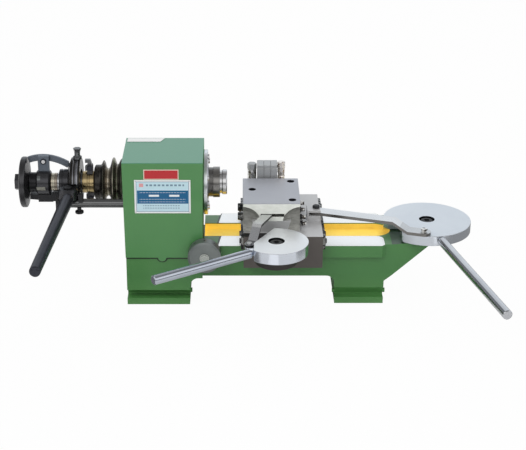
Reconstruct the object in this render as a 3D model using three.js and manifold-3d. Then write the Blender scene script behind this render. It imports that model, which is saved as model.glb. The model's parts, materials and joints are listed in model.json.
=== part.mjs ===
import * as THREE from 'three';
import { mergeVertices } from 'three/addons/utils/BufferGeometryUtils.js';
import Module from 'manifold-3d';

// Instrument lathe with a lever collet closer, a lever carriage and a lever cross slide.
// Millimetres. +X runs along the bed from the headstock, +Z is up, -Y is the operator's side.
// The origin is the middle of the headstock foot's underside, below the spindle axis.

// Shared clearances
const seatGap = 0.3;
const turnGap = 0.3;
const cutOver = 5;
const overlapIn = 1;
const halfShare = 0.5;
const roundSides = 24;
const smallSides = 12;
const discSides = 36;
const arcSteps = 6;
const hexSides = 6;
const mergeReach = 1e-4;
const fullTurn = 2 * Math.PI;
const quarterTurn = Math.PI / 2;

// Bed, its two flat ways and the bracket at its right end
const wayTop = 121;
const wayOuter = 80;
const wayInner = 31.5;
const wayStart = 119;
const wayEnd = 434;
const wayDepth = 24;
const wayOverhang = 8;
const wayPoint = 5;
const wayCorner = 6;
const channelDepth = 12;
const bedUnderside = 55;
const bedWall = wayOuter - wayOverhang;
const archRadius = 15;
const footHeight = 13;
const neckTop = 30;
const neckFoot = 16;
const neckIn = 8;
const leftFootStart = -61;
const leftFootEnd = 61;
const headWallEnd = 84.5;
const headWallFront = 84;
const leftFlange = 85;
const rightFootLength = 87;
const rightWallStep = 9;
const rightFootStart = wayEnd - rightFootLength;
const rightWallStart = rightFootStart - rightWallStep;
const rightFlange = 80;
const deckTop = 100;
const bigCrankReach = 87;
const bigCrankX = wayEnd + bigCrankReach;
const bracketBack = 1;
const bracketEnd = bigCrankX - bracketBack;
const bracketLip = 8;
const bracketTaper = 14;
const bracketHeel = 44;
const earRadius = 4.5;
const earHeight = 21;
const earLength = 4;

// Spindle, its bearings and the headstock round it
const centreHeight = 100;
const axisHeight = wayTop + centreHeight;
const barBore = 7.5;
const spindle = {
  tailStart: -186, tailRadius: 18, seatStart: -123.4, seatRadius: 20, rearStart: -56, rearEnd: -28,
  journalRadius: 26, frontStart: 54, noseStart: 87, noseEnd: 104.4, noseRadius: 28.5, middleRadius: 23,
  boreRadius: 13,
};
const bearing = { outerRadius: 35.7, width: 24, crown: 11.3 };
const headstockTop = axisHeight + bearing.outerRadius + bearing.crown;
const coverWall = 3;
const coverRoom = 22;
const cover = {
  start: -64, end: 87, front: 88, back: 50, top: headstockTop + coverRoom + coverWall, wall: coverWall,
  draft: 2.4, holeGap: 4, tabRadius: 8,
};
const headstock = {
  wall: 28, front: 66, back: 44, base: 12, top: headstockTop, corner: 20, start: -57,
  end: cover.end - cover.draft - cover.wall - seatGap,
};
const cap = { radius: 62.5, thick: 7.5, screwRadius: 5, screwHead: 3, screwRing: 52, screws: 6 };
const nose = {
  ringEnd: 117.7, ringRadius: 29.5, neckRadius: 22, headStart: 122, headEnd: 131.4, headRadius: 24,
};
const colletRadius = 12.6;
const colletStart = 66;

// Step pulley on the spindle's tail
const pulleyStart = -123;
const pulleyEnd = -68.5;
const pulleyLength = pulleyEnd - pulleyStart;
const pulleyTop = 47.6;
const pulleyProfileShares = [
  [0, 0.64], [0.03, 0.7], [0.22, 0.7], [0.26, 0.74], [0.3, 0.86], [0.33, 0.88], [0.36, 0.85], [0.44, 0.57],
  [0.53, 0.57], [0.61, 0.86], [0.66, 1], [0.69, 1], [0.73, 0.92], [0.79, 0.72], [0.84, 0.72], [0.92, 0.92],
  [0.96, 0.95], [1, 0.93],
];

// Collet closer behind the pulley
const barDrop = 22.5;
const barHeight = axisHeight - barDrop;
const bar = {
  radius: 8.7, side: -53, height: barHeight, start: -175.7, end: -40, spigotStart: -192, spigotRadius: 5,
};
const barClampRise = 19.5;
const barClamp = { start: -150, end: -141, front: -61, back: -49, top: barHeight + barClampRise };
const ringOpenRise = 13;
const ring = {
  start: -172, end: -149, outer: 48, inner: 25.5, shoulderRadius: 38, shoulderLength: 5.5, bands: 3, bandGap: 2,
  bandDepth: 2, openBack: -32, openTop: axisHeight + ringOpenRise,
};
const collar = { start: -190.6, end: -152.5, radius: 25, cone: 5 };
const ringBolt = {
  x: -155, headRadius: 8, headHeight: 7, stemRadius: 5.5, stemHeight: 9, washerRadius: 8.5, washerHeight: 5,
};
const leverRise = { hub: 30.5, root: 20, end: 1.5 };
const lever = {
  pivotX: -170, hubRadius: 19, hubTop: barHeight + leverRise.hub, radius: 10, endX: -193.5, endY: -367,
  endZ: barHeight + leverRise.end, rootX: -166, rootY: -58, rootZ: barHeight + leverRise.root, tipRadius: 6,
  tipLength: 4,
  shoulder: 30, shoulderRadius: 12.2,
};
const pivotPin = { radius: 5, headRadius: 8, headHeight: 3 };
const knob = { x: -149.6, radius: 8.2, height: 5, neckHeight: 6.8, stemRadius: 4 };
const tongueRise = { bottom: 11.5, top: 19.5 };
const tongue = {
  x: -160, width: 6, front: -40, back: -27, bottom: barHeight + tongueRise.bottom,
  top: barHeight + tongueRise.top, slotGap: 1,
};
const carrier = { start: -146.5, end: -123.7, radius: 21, innerRadius: 18 };
const ear = { start: -137, end: -126, top: 37, gap: 4.4, thick: 4 };
const finger = { thick: 8, pivotX: -131.5, pivotR: 31, pinRadius: 3.2, pinHead: 5.5, pinOver: 2.5 };
const fingerShares = [
  [-0.26, -0.2], [-0.26, 0.05], [-0.17, 0.1], [-0.13, 0.18], [-0.12, 0.26], [-0.25, 0.26], [-0.25, 0.43],
  [0.02, 0.43], [0.07, 0.3], [0.12, 0.12], [0.08, -0.12], [-0.1, -0.16],
];
const fingerScale = 36;
const tube = { radius: 12, end: 65.7 };
const wheel = {
  start: -266, rim: 49, rimWidth: 13.5, coneEnd: -249, hub: 18.8, hubEnd: -207.5, rimRound: 3, bore: 12.3,
};
const endNut = { start: -276.5, end: -266.3, radius: 16.4, seat: 4 };
const brassSleeve = { start: -207.2, end: -194, radius: 17.4 };
const lockRing = { start: -193.7, end: -190.9, radius: 18.5 };
const block = { start: -235, end: -207.8, radius: 24, chamfer: 3, flat: 23, window: 9, windowDepth: 1.5 };
const lug = { start: -231, end: -209.5, half: 4.5, height: 31 };
const lugPin = { radius: 4, head: 5.8, headThick: 2, drop: 10.5 };
const lugPinHeight = axisHeight + block.flat + lug.height - lugPin.drop;
const stopArmDrop = { start: 0.5, end: 11.5 };
const stopArm = {
  thick: 6, width: 12, start: -250, end: -172.6, startHeight: lugPinHeight - stopArmDrop.start,
  endHeight: lugPinHeight - stopArmDrop.end, rise: 9.6,
};
const cradleDrop = { start: 10, bottom: 15.5, web: 4.5, boss: 8.5 };
const cradleRise = { boss: 8.4, neck: 3 };
const cradle = {
  start: -248.4, seatEnd: -205, neckEnd: -193.5, bossStart: -193, end: -176, half: 9,
  startBottom: barHeight - cradleDrop.start, bottom: barHeight - cradleDrop.bottom,
  webTop: barHeight - cradleDrop.web, webBack: -28, bossBack: -42, bossFront: -62,
  bossBottom: barHeight - cradleDrop.boss, bossTop: barHeight + cradleRise.boss, neckTop: barHeight + cradleRise.neck,
};
const clampPlate = { start: -233, end: -204.5, half: 8, thick: 4, rise: 3.5, tipRadius: 3, tipHeight: 1.5 };

// Adjusting wheel at the right foot of the headstock
const adjust = {
  x: 89, z: 111, face: -114, back: -90.5, radius: 31.5, shaftRadius: 6, shaftIn: 30, nutRadius: 9.5,
  nutThick: 3, holeRadius: 2, holeDepth: 8, holes: 10,
};

// Carriage
const saddle = {
  start: 163, end: 313, front: 101, back: 112, top: 150, apronBottom: 85,
};
const dovetail = { left: 179, right: 253, height: 24, under: 9, front: 82, back: 104 };
const slide = {
  left: 162, right: 270, front: 84, back: 47, top: 210, rearBack: 112, rearTop: 182, rearLeft: 166,
  rearRight: 252,
};
const scoop = { wide: 36, deep: 20, high: 30, level: 174, out: 3 };
const slotCut = { left: 195, right: 240, bottom: 183.2, height: 6, depth: 34 };
const tapHole = { radius: 6.5, depth: 14, placesShares: [[0.165, 0.56], [0.865, 0.88], [0.865, 0.15]] };
const gibScrewRise = 11;
const gibScrew = {
  radius: 3.8, head: 6.5, length: 13, headThick: 5.5, height: saddle.top + gibScrewRise,
  placesShares: [0.16, 0.4, 0.68, 0.93],
};
const stopKnobDrop = 6;
const stopKnob = {
  radius: 8, length: 10, height: slide.rearTop - stopKnobDrop, placesShares: [0.16, 0.5],
};
const wiper = { thick: 5, inset: 5, screw: 5, screwHead: 3, height: 27, screwPlaces: [51, 86] };
const clevisInset = 9;
const clevisX = saddle.end - clevisInset;
const clevisReach = { left: 18, right: 8 };
const clevis = {
  x: clevisX, y: -8, left: clevisX - clevisReach.left, right: clevisX + clevisReach.right, front: -24, back: 8,
  wall: 3.5, earThick: 4, pin: 4, head: 7, headThick: 5,
};
const postPlate = {
  count: 3, start: 190.5, width: 13, gap: 0.2, front: 54, back: 88, top: 233, step: 2, stepHeight: 6,
};
const postBolt = {
  leftX: 180.3, rightX: 238, leftRadius: 8.6, rightRadius: 7.2, headLeft: 9.5, headRight: 7.8, head: 12,
  leftRise: 0, rightRise: 3,
};

// Hand cranks: a disc, its pivot screw, its handle and the bent link to what it moves
const bigCrankRadius = 85;
const handleSeat = { gap: 0.4, depth: 25 };
const bigCrank = {
  x: bigCrankX, y: 0, bottom: 123, thick: 20, radius: bigCrankRadius, recess: 14.5, recessDepth: 8,
  screwHead: 12, screwRadius: 8, handleTurn: -77.3, handleEnd: 404, handleStart: bigCrankRadius + handleSeat.gap,
  handleRoot: bigCrankRadius - handleSeat.depth, handleRadius: 8.8,
  notchX: -55, notchY: -5,
};
const smallCrank = {
  x: 223, y: -161.5, bottom: 146, thick: 22, radius: 59.5, recess: 14.5, recessDepth: 8, screwHead: 12,
  screwRadius: 8, handleTurn: 213.5, handleEnd: 263, handleStart: 57, handleRoot: 26, handleRadius: 8.8,
  flatX: -42, cornerY: -9.3, chordX: -3,
};
const crankBoss = { radius: 39, thick: 20, bigRadius: 34 };
const tang = { radius: 5, tip: 2 };
const socket = { radius: 6, depth: 4 };
const bigPin = { x: -15, y: -74.5, radius: 4, hole: 7.4, head: 6.5, headThick: 5, depth: 12 };
const smallPin = {
  x: -50, y: -2, radius: 3, hole: 5, earRadius: 9, earBottom: 150, earTop: 158, head: 5.5, headThick: 3,
};
const arm = { width: 26, thick: 6, level: 160, dropStart: 154, dropEnd: 183 };
const link = {
  width: 18, thick: 4.6, level: 183.7, startX: 217, startY: -62, pin: 3, dropStart: 73, dropEnd: 95,
};
const discWasher = 0.4;

// Plates without words
const plateDrop = { redTop: 12.7, redBottom: 32.6, dataTop: 33.4, dataBottom: 100.4 };
const plates = {
  red: { start: -23.6, end: 41.9, bottom: cover.top - plateDrop.redBottom, top: cover.top - plateDrop.redTop },
  data: { start: -41.3, end: 63.9, bottom: cover.top - plateDrop.dataBottom, top: cover.top - plateDrop.dataTop },
  label: { start: -61, end: 11, back: 46, front: 27, skew: 8 },
  thick: 0.6,
};

// Materials, one colour for each finish
const wasm = await Module();
wasm.setup();
const finish = (color, roughness, metalness) => ({ color, roughness, metalness });
const greenPaint = finish(0x3f7f46, 0.4, 0);
const coverPaint = finish(0x5a9a64, 0.35, 0);
const blackSteel = finish(0x1d1f22, 0.4, 0.7);
const steel = finish(0xb9bcc0, 0.3, 1);
const bluedSteel = finish(0x6b7783, 0.4, 0.8);
const groundSteel = finish(0xa5a7a8, 0.45, 0.8);
const chrome = finish(0xdfe4e8, 0.12, 1);
const brass = finish(0xb08d45, 0.3, 1);
const redPlate = finish(0xb3282c, 0.5, 0);
const bluePlate = finish(0xa9cfe6, 0.5, 0);
const whitePlate = finish(0xf0f0ee, 0.5, 0);

// Solids and their joins
function solid(geometry) {
  const bare = geometry.clone();
  bare.deleteAttribute('normal');
  bare.deleteAttribute('uv');
  const merged = mergeVertices(bare, mergeReach);
  const points = merged.attributes.position;
  const at = (i) => new THREE.Vector3().fromBufferAttribute(points, i);
  const corners = [];
  for (let i = 0; i < merged.index.count; i += 3) {
    const [a, b, c] = [i, i + 1, i + 2].map((k) => merged.index.getX(k));
    if (a !== b && b !== c && c !== a) corners.push([a, b, c]);
  }
  const volume = corners.reduce((sum, [a, b, c]) => sum + at(a).dot(at(b).cross(at(c))), 0);
  const facingOut = volume > 0 ? corners : corners.map(([a, b, c]) => [a, c, b]);
  return new wasm.Manifold(new wasm.Mesh({
    numProp: 3,
    vertProperties: new Float32Array(points.array),
    triVerts: new Uint32Array(facingOut.flat()),
  }));
}

function join(first, ...others) {
  return others.reduce((sum, other) => sum.add(other), first);
}

function cut(first, ...others) {
  return others.reduce((sum, other) => sum.subtract(other), first);
}

function node(name, shape, look) {
  const found = shape.getMesh();
  const geometry = new THREE.BufferGeometry();
  geometry.setAttribute('position', new THREE.BufferAttribute(new Float32Array(found.vertProperties), 3));
  geometry.setIndex(new THREE.BufferAttribute(new Uint32Array(found.triVerts), 1));
  geometry.computeVertexNormals();
  const mesh = new THREE.Mesh(geometry, new THREE.MeshStandardMaterial(look));
  mesh.name = name;
  return mesh;
}

function box(x0, x1, y0, y1, z0, z1) {
  const geometry = new THREE.BoxGeometry(x1 - x0, y1 - y0, z1 - z0);
  geometry.translate((x0 + x1) / 2, (y0 + y1) / 2, (z0 + z1) / 2);
  return solid(geometry);
}

// A round bar from one point to another
function bar3(from, to, radius, sides = roundSides, endRadius = radius) {
  const start = new THREE.Vector3(...from);
  const run = new THREE.Vector3(...to).sub(start);
  const geometry = new THREE.CylinderGeometry(endRadius, radius, run.length(), sides);
  geometry.translate(0, run.length() / 2, 0);
  const turn = new THREE.Quaternion().setFromUnitVectors(THREE.Object3D.DEFAULT_UP, run.normalize());
  geometry.applyQuaternion(turn);
  geometry.translate(start.x, start.y, start.z);
  return solid(geometry);
}

// A rod from one point towards another, turned from points of [distance, radius]
function rod3(from, towards, points) {
  const geometry = new THREE.LatheGeometry(points.map(([out, radius]) => new THREE.Vector2(radius, out)), roundSides);
  const way = towards.clone().sub(from).normalize();
  geometry.applyQuaternion(new THREE.Quaternion().setFromUnitVectors(THREE.Object3D.DEFAULT_UP, way));
  geometry.translate(from.x, from.y, from.z);
  return solid(geometry);
}

// A solid turned round the spindle axis from points of [x, radius]
function turned(points, sides = roundSides) {
  const profile = points.map(([x, radius]) => new THREE.Vector2(radius, x));
  const geometry = new THREE.LatheGeometry(profile, sides);
  geometry.rotateX(quarterTurn);
  geometry.rotateY(quarterTurn);
  geometry.rotateX(quarterTurn);
  geometry.translate(0, 0, axisHeight);
  return solid(geometry);
}

function drum(x0, x1, radius, sides = roundSides) {
  return turned([[x0, 0], [x0, radius], [x1, radius], [x1, 0]], sides);
}

function outline(points) {
  const shape = new THREE.Shape();
  shape.setFromPoints(points.map(([a, b]) => new THREE.Vector2(a, b)));
  return shape;
}

// A front view drawn in X and Z and extruded along Y
function fromFront(points, y0, y1) {
  const geometry = new THREE.ExtrudeGeometry(outline(points), { depth: y1 - y0, bevelEnabled: false });
  geometry.rotateX(quarterTurn);
  geometry.translate(0, y1, 0);
  return solid(geometry);
}

// A plan view drawn in X and Y and extruded up Z
function fromTop(points, z0, z1) {
  const geometry = new THREE.ExtrudeGeometry(outline(points), { depth: z1 - z0, bevelEnabled: false });
  geometry.translate(0, 0, z0);
  return solid(geometry);
}

// An end view drawn in Y and Z and extruded along X
function fromEnd(points, x0, x1) {
  const geometry = new THREE.ExtrudeGeometry(outline(points), { depth: x1 - x0, bevelEnabled: false });
  geometry.rotateX(quarterTurn);
  geometry.rotateZ(quarterTurn);
  geometry.translate(x0, 0, 0);
  return solid(geometry);
}

function arc(x, y, radius, from, to, steps = arcSteps) {
  return Array.from({ length: steps + 1 }, (_, i) => {
    const angle = from + (to - from) * i / steps;
    return [x + radius * Math.cos(angle), y + radius * Math.sin(angle)];
  });
}

function hexAlong(from, to, radius) {
  return bar3(from, to, radius, hexSides);
}

// Bed casting
function foot(start, end, flange, wall) {
  const half = [
    [wall, neckTop + overlapIn], [wall, neckTop], [wall - neckIn, neckFoot], [wall - neckIn, footHeight],
    [flange, footHeight], [flange, 0],
  ];
  const mirrored = half.map(([y, z]) => [-y, z]).reverse();
  return fromEnd([...half, ...mirrored], start, end);
}

function castEar(x, way) {
  const y = -(bedWall - neckIn);
  return bar3([x - way * overlapIn, y, earHeight], [x + way * earLength, y, earHeight], earRadius, smallSides);
}

function bedCasting() {
  const headProfile = [
    [leftFootStart, neckTop], [leftFootEnd, neckTop], [leftFootEnd, bedUnderside - archRadius],
    ...arc(leftFootEnd + archRadius, bedUnderside - archRadius, archRadius, Math.PI, quarterTurn),
    [headWallEnd, bedUnderside], [headWallEnd, deckTop], [leftFootStart, deckTop],
  ];
  const bedProfile = [
    [leftFootEnd + archRadius, bedUnderside],
    ...arc(rightWallStart - archRadius, bedUnderside - archRadius, archRadius, quarterTurn, 0),
    [rightWallStart, neckTop], [wayEnd, neckTop], [wayEnd, bracketHeel],
    [bracketEnd, wayTop - bracketLip], [bracketEnd, wayTop], [cover.end + seatGap, wayTop],
    [cover.end + seatGap, deckTop], [leftFootEnd + archRadius, deckTop],
  ];
  const wayPlan = (side) => [
    [wayStart, side * wayInner], [wayStart - wayPoint, side * (wayInner + wayOuter) / 2],
    [wayStart, side * wayOuter],
    [wayEnd - wayCorner, side * wayOuter], [wayEnd, side * (wayOuter - wayCorner)], [wayEnd, side * wayInner],
  ];
  const taperCut = (side) => fromTop([
    [wayEnd + bracketTaper, side * bedWall], [bracketEnd + cutOver, side * (bedWall - bracketTaper)],
    [bracketEnd + cutOver, side * (bedWall + cutOver)], [wayEnd + bracketTaper, side * (bedWall + cutOver)],
  ], 0, wayTop + cutOver);
  const channelPlan = [
    [headWallEnd, -wayInner],
    ...arc(wayEnd - wayInner / 2, 0, wayInner, -quarterTurn, quarterTurn, 2 * arcSteps),
    [headWallEnd, wayInner],
  ];
  const wayPiece = (side) => {
    const plan = wayPlan(side);
    return fromTop(side > 0 ? plan : plan.reverse(), wayTop - wayDepth, wayTop);
  };
  const body = join(
    fromFront(headProfile, -headWallFront, bedWall), fromFront(bedProfile, -bedWall, bedWall),
    foot(leftFootStart, leftFootEnd - overlapIn, leftFlange, bedWall),
    foot(rightFootStart - wayOverhang, wayEnd - overlapIn, rightFlange, bedWall),
    wayPiece(1), wayPiece(-1),
    castEar(leftFootEnd - overlapIn, 1), castEar(rightWallStart + overlapIn, -1),
    castEar(wayEnd - overlapIn, 1),
    bar3([bigCrank.x - crankBoss.bigRadius, 0, wayTop - bracketLip],
      [bigCrank.x - crankBoss.bigRadius, 0, wayTop], crankBoss.bigRadius),
    bar3([bigCrank.x, bigCrank.y, wayTop - 2 * bracketLip],
      [bigCrank.x, bigCrank.y, bigCrank.bottom - discWasher], crankBoss.bigRadius),
  );
  const adjustBore = bar3([adjust.x, -bedWall - cutOver, adjust.z],
    [adjust.x, -bedWall + adjust.shaftIn, adjust.z], adjust.shaftRadius + turnGap, smallSides);
  const crankBore = bar3([bigCrank.x, bigCrank.y, wayTop - 3 * bracketLip],
    [bigCrank.x, bigCrank.y, wayTop + cutOver], bigCrank.screwRadius + turnGap, smallSides);
  return cut(body, taperCut(1), taperCut(-1), fromTop(channelPlan, wayTop - channelDepth, wayTop + cutOver),
    adjustBore, crankBore);
}

// Headstock: casting, cover, caps and plates
function headstockCasting() {
  const { wall, front, back, base, top, corner, start, end } = headstock;
  const low = deckTop + seatGap;
  const post = [
    [-front, low], [back, low], ...arc(back - corner, top - corner, corner, 0, quarterTurn),
    ...arc(-front + corner, top - corner, corner, quarterTurn, Math.PI),
  ];
  const bores = drum(start - cutOver, end + cutOver, bearing.outerRadius + seatGap);
  const barHole = bar3([start - cutOver, bar.side, bar.height], [bar.end + turnGap, bar.side, bar.height],
    bar.radius + turnGap);
  return cut(join(fromEnd(post, start, start + wall), fromEnd(post, end - wall, end),
    box(start, end, -front, back, low, low + base)), bores, barHole);
}

function coverBox(inset) {
  const bottom = deckTop + seatGap;
  const low = inset > 0 ? bottom - cutOver : bottom;
  return fromFront([
    [cover.start + cover.draft + inset, low], [cover.end - cover.draft - inset, low],
    [cover.end - inset, cover.top - inset], [cover.start + inset, cover.top - inset],
  ], -cover.front + inset, cover.back - inset);
}

function headstockCover() {
  const tabX = (leftFootStart + leftFootEnd) / 2 + cover.tabRadius;
  const tab = fromFront(arc(tabX, deckTop + seatGap, cover.tabRadius, Math.PI, fullTurn),
    -cover.front, -headWallFront - seatGap);
  const inside = 3 * cutOver;
  const noseHole = drum(cover.end - inside, cover.end + cutOver, spindle.journalRadius + cover.holeGap);
  const tailHole = drum(cover.start - cutOver, cover.start + inside, spindle.middleRadius + cover.holeGap);
  const barHole = bar3([cover.start - cutOver, bar.side, bar.height],
    [cover.start + inside, bar.side, bar.height], bar.radius + cover.holeGap / 2, smallSides);
  const shaftHole = bar3([adjust.x, -cover.front - cutOver, adjust.z], [adjust.x, -adjust.shaftIn, adjust.z],
    adjust.shaftRadius + cover.holeGap, smallSides);
  return join(cut(coverBox(0), coverBox(cover.wall), noseHole, tailHole, barHole, shaftHole), tab);
}

function frontCap() {
  const start = cover.end + seatGap;
  const end = start + cap.thick;
  const inner = spindle.noseRadius + turnGap;
  const screws = Array.from({ length: cap.screws }, (_, i) => {
    const angle = fullTurn * (i + halfShare) / cap.screws;
    const y = cap.screwRing * Math.cos(angle);
    const z = axisHeight + cap.screwRing * Math.sin(angle);
    return bar3([end - overlapIn, y, z], [end + cap.screwHead, y, z], cap.screwRadius, smallSides);
  });
  const plateRound = drum(start, end, cap.radius, discSides);
  return join(cut(plateRound, drum(start - cutOver, end + cutOver, inner)), ...screws);
}

function bearingRing(start, end) {
  return cut(drum(start, end, bearing.outerRadius), drum(start - cutOver, end + cutOver,
    spindle.journalRadius + turnGap));
}

function plate(area) {
  const front = -cover.front - seatGap;
  return box(area.start, area.end, front - plates.thick, front, area.bottom, area.top);
}

function topLabel() {
  const { start, end, back, front, skew } = plates.label;
  const bottom = cover.top + seatGap;
  return fromTop([[start, front], [end - skew, front], [end, back], [start, back]], bottom, bottom + plates.thick);
}

// Spindle and what turns with it
function spindleShaft() {
  const s = spindle;
  const outer = turned([
    [s.tailStart, 0], [s.tailStart, s.tailRadius], [s.seatStart, s.tailRadius], [s.seatStart, s.seatRadius],
    [pulleyEnd, s.seatRadius], [pulleyEnd, s.middleRadius], [s.rearStart, s.middleRadius],
    [s.rearStart, s.journalRadius], [s.rearEnd, s.journalRadius], [s.rearEnd, s.middleRadius],
    [s.frontStart, s.middleRadius], [s.frontStart, s.journalRadius], [s.noseStart, s.journalRadius],
    [s.noseStart, s.noseRadius], [s.noseEnd, s.noseRadius], [s.noseEnd, 0],
  ]);
  return cut(outer, drum(s.tailStart - cutOver, s.noseEnd + cutOver, s.boreRadius));
}

function noseRing() {
  const start = spindle.noseEnd + turnGap;
  return cut(drum(start, nose.ringEnd, nose.ringRadius),
    drum(start - cutOver, nose.ringEnd + cutOver, nose.neckRadius + turnGap));
}

function collet() {
  const neckStart = spindle.noseEnd + turnGap;
  const outer = turned([
    [colletStart, 0], [colletStart, colletRadius], [neckStart, colletRadius], [neckStart, nose.neckRadius],
    [nose.headStart, nose.neckRadius], [nose.headStart, nose.headRadius], [nose.headEnd, nose.headRadius],
    [nose.headEnd, 0],
  ]);
  return cut(outer, drum(colletStart - cutOver, nose.headEnd + cutOver, barBore, smallSides));
}

function stepPulley() {
  const rim = pulleyProfileShares.map(([x, r]) => [pulleyStart + x * pulleyLength, r * pulleyTop]);
  const body = turned([[pulleyStart, 0], ...rim, [pulleyEnd, 0]], discSides);
  return cut(body, drum(pulleyStart - cutOver, pulleyEnd + cutOver, spindle.seatRadius + turnGap));
}

// Collet closer, the parts that turn
function fingerCarrier() {
  const body = drum(carrier.start, carrier.end, carrier.radius);
  const earPair = [1, -1].flatMap((up) => [1, -1].map((side) => {
    const y0 = side > 0 ? ear.gap : -ear.gap - ear.thick;
    const z0 = axisHeight + (up > 0 ? carrier.innerRadius : -ear.top);
    return box(ear.start, ear.end, y0, y0 + ear.thick, z0, z0 + ear.top - carrier.innerRadius);
  }));
  const bore = drum(carrier.start - cutOver, carrier.end + cutOver, spindle.tailRadius + turnGap);
  const reach = ear.gap + ear.thick;
  const x = finger.pivotX;
  const pins = [1, -1].flatMap((up) => {
    const z = axisHeight + up * finger.pivotR;
    return [
      bar3([x, -reach - overlapIn, z], [x, reach + finger.pinOver, z], finger.pinRadius, smallSides),
      hexAlong([x, -reach - finger.pinOver, z], [x, overlapIn - reach, z], finger.pinHead),
    ];
  });
  return join(cut(join(body, ...earPair), bore), ...pins);
}

function closerFinger(up) {
  const points = fingerShares.map(([x, z]) => [
    finger.pivotX + x * fingerScale, axisHeight + up * (finger.pivotR + z * fingerScale),
  ]);
  const half = finger.thick / 2;
  const plateShape = fromFront(up > 0 ? points.reverse() : points, -half, half);
  const z = axisHeight + up * finger.pivotR;
  return cut(plateShape, bar3([finger.pivotX, -half - cutOver, z], [finger.pivotX, half + cutOver, z],
    finger.pinRadius + turnGap, smallSides));
}

function drawTube() {
  return cut(drum(endNut.end - endNut.seat + seatGap, tube.end, tube.radius),
    drum(endNut.start - cutOver, tube.end + cutOver, barBore, smallSides));
}

function drawWheel() {
  const w = wheel;
  const outer = turned([
    [w.start, 0], [w.start, w.rim - w.rimRound], [w.start + w.rimRound, w.rim],
    [w.start + w.rimWidth - w.rimRound, w.rim], [w.start + w.rimWidth, w.rim - w.rimRound],
    [w.coneEnd, w.hub + w.rimRound], [w.coneEnd + w.rimRound, w.hub], [w.hubEnd, w.hub], [w.hubEnd, 0],
  ], discSides);
  return cut(outer, drum(w.start - cutOver, w.hubEnd + cutOver, w.bore));
}

function boredDrum(part, bore) {
  return cut(drum(part.start, part.end, part.radius), drum(part.start - cutOver, part.end + cutOver, bore));
}

function tubeNut() {
  const n = endNut;
  const bore = drum(n.start - cutOver, n.end + cutOver, barBore + turnGap, smallSides);
  return cut(drum(n.start, n.end, n.radius, hexSides), bore,
    drum(n.end - n.seat, n.end + cutOver, tube.radius + turnGap));
}

function shiftCollar() {
  const c = collar;
  const outer = turned([
    [c.start, 0], [c.start, c.radius], [c.end - c.cone, c.radius], [c.end, c.radius - c.cone / 2], [c.end, 0],
  ]);
  return cut(outer, drum(c.start - cutOver, c.end + cutOver, spindle.tailRadius + turnGap));
}

// Collet closer, the parts that stay or slide
function shiftRing() {
  const r = ring;
  const pitch = (r.end - r.start + r.bandGap) / r.bands;
  const low = r.outer - r.bandDepth;
  const bands = Array.from({ length: r.bands - 1 }, (_, i) => {
    const start = r.start + (i + 1) * pitch - r.bandGap;
    const end = start + r.bandGap;
    return [[start, r.outer], [start, low], [end, low], [end, r.outer]];
  }).flat();
  const outer = turned([
    [r.start, 0], [r.start, r.shoulderRadius], [r.start + r.shoulderLength - r.bandGap, low], ...bands,
    [r.end, r.outer], [r.end, 0],
  ], discSides);
  const under = axisHeight - r.outer - cutOver;
  const open = box(r.start - cutOver, r.end + cutOver, -r.outer - cutOver, r.openBack, under, r.openTop);
  const half = tongue.width / 2 + tongue.slotGap;
  const slot = box(tongue.x - half, tongue.x + half, r.openBack - cutOver, tongue.back + tongue.slotGap,
    tongue.bottom - tongue.slotGap, tongue.top + tongue.slotGap);
  const boltHole = bar3([ringBolt.x, 0, axisHeight + r.inner + overlapIn],
    [ringBolt.x, 0, axisHeight + r.outer + cutOver], ringBolt.stemRadius + turnGap, smallSides);
  return cut(outer, drum(r.start - cutOver, r.end + cutOver, r.inner), open, slot, boltHole);
}

function topBolt() {
  const b = ringBolt;
  const seat = axisHeight + ring.outer + seatGap;
  const washerTop = seat + b.washerHeight;
  const stemTop = washerTop + b.stemHeight;
  const at = (z) => [b.x, 0, z];
  return join(
    bar3(at(axisHeight + ring.inner + overlapIn * 2), at(stemTop), b.stemRadius, smallSides),
    bar3(at(seat), at(washerTop), b.washerRadius, smallSides),
    bar3(at(stemTop - overlapIn), at(stemTop + b.headHeight), b.stemRadius, hexSides, b.headRadius),
  );
}

function closerLever() {
  const low = bar.height + bar.radius + seatGap;
  const half = tongue.width / 2;
  const end = new THREE.Vector3(lever.endX, lever.endY, lever.endZ);
  const root = new THREE.Vector3(lever.rootX, lever.rootY, lever.rootZ);
  const length = end.distanceTo(root);
  const profile = [
    [0, 0], [0, lever.radius], [lever.shoulder, lever.shoulderRadius], [length - lever.tipLength, lever.radius],
    [length, lever.tipRadius], [length, 0],
  ];
  const body = join(
    bar3([lever.pivotX, bar.side, low], [lever.pivotX, bar.side, lever.hubTop], lever.hubRadius),
    rod3(root, end, profile),
    box(tongue.x - half, tongue.x + half, tongue.front, tongue.back, tongue.bottom, tongue.top),
  );
  return cut(body, bar3([lever.pivotX, bar.side, low - cutOver],
    [lever.pivotX, bar.side, lever.hubTop + cutOver], pivotPin.radius + turnGap, smallSides));
}

function leverPivotPin() {
  const p = pivotPin;
  const seat = lever.hubTop + seatGap;
  const at = (z) => [lever.pivotX, bar.side, z];
  return join(bar3(at(bar.height - bar.radius + overlapIn), at(seat + overlapIn), p.radius, smallSides),
    bar3(at(seat), at(seat + p.headHeight), p.headRadius, smallSides));
}

function clampKnob() {
  const neckEnd = bar.height - bar.radius - knob.neckHeight;
  const at = (z) => [knob.x, bar.side, z];
  return join(bar3(at(neckEnd - overlapIn), at(bar.height), knob.stemRadius, smallSides),
    bar3(at(neckEnd - knob.height), at(neckEnd), knob.radius, smallSides));
}

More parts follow.
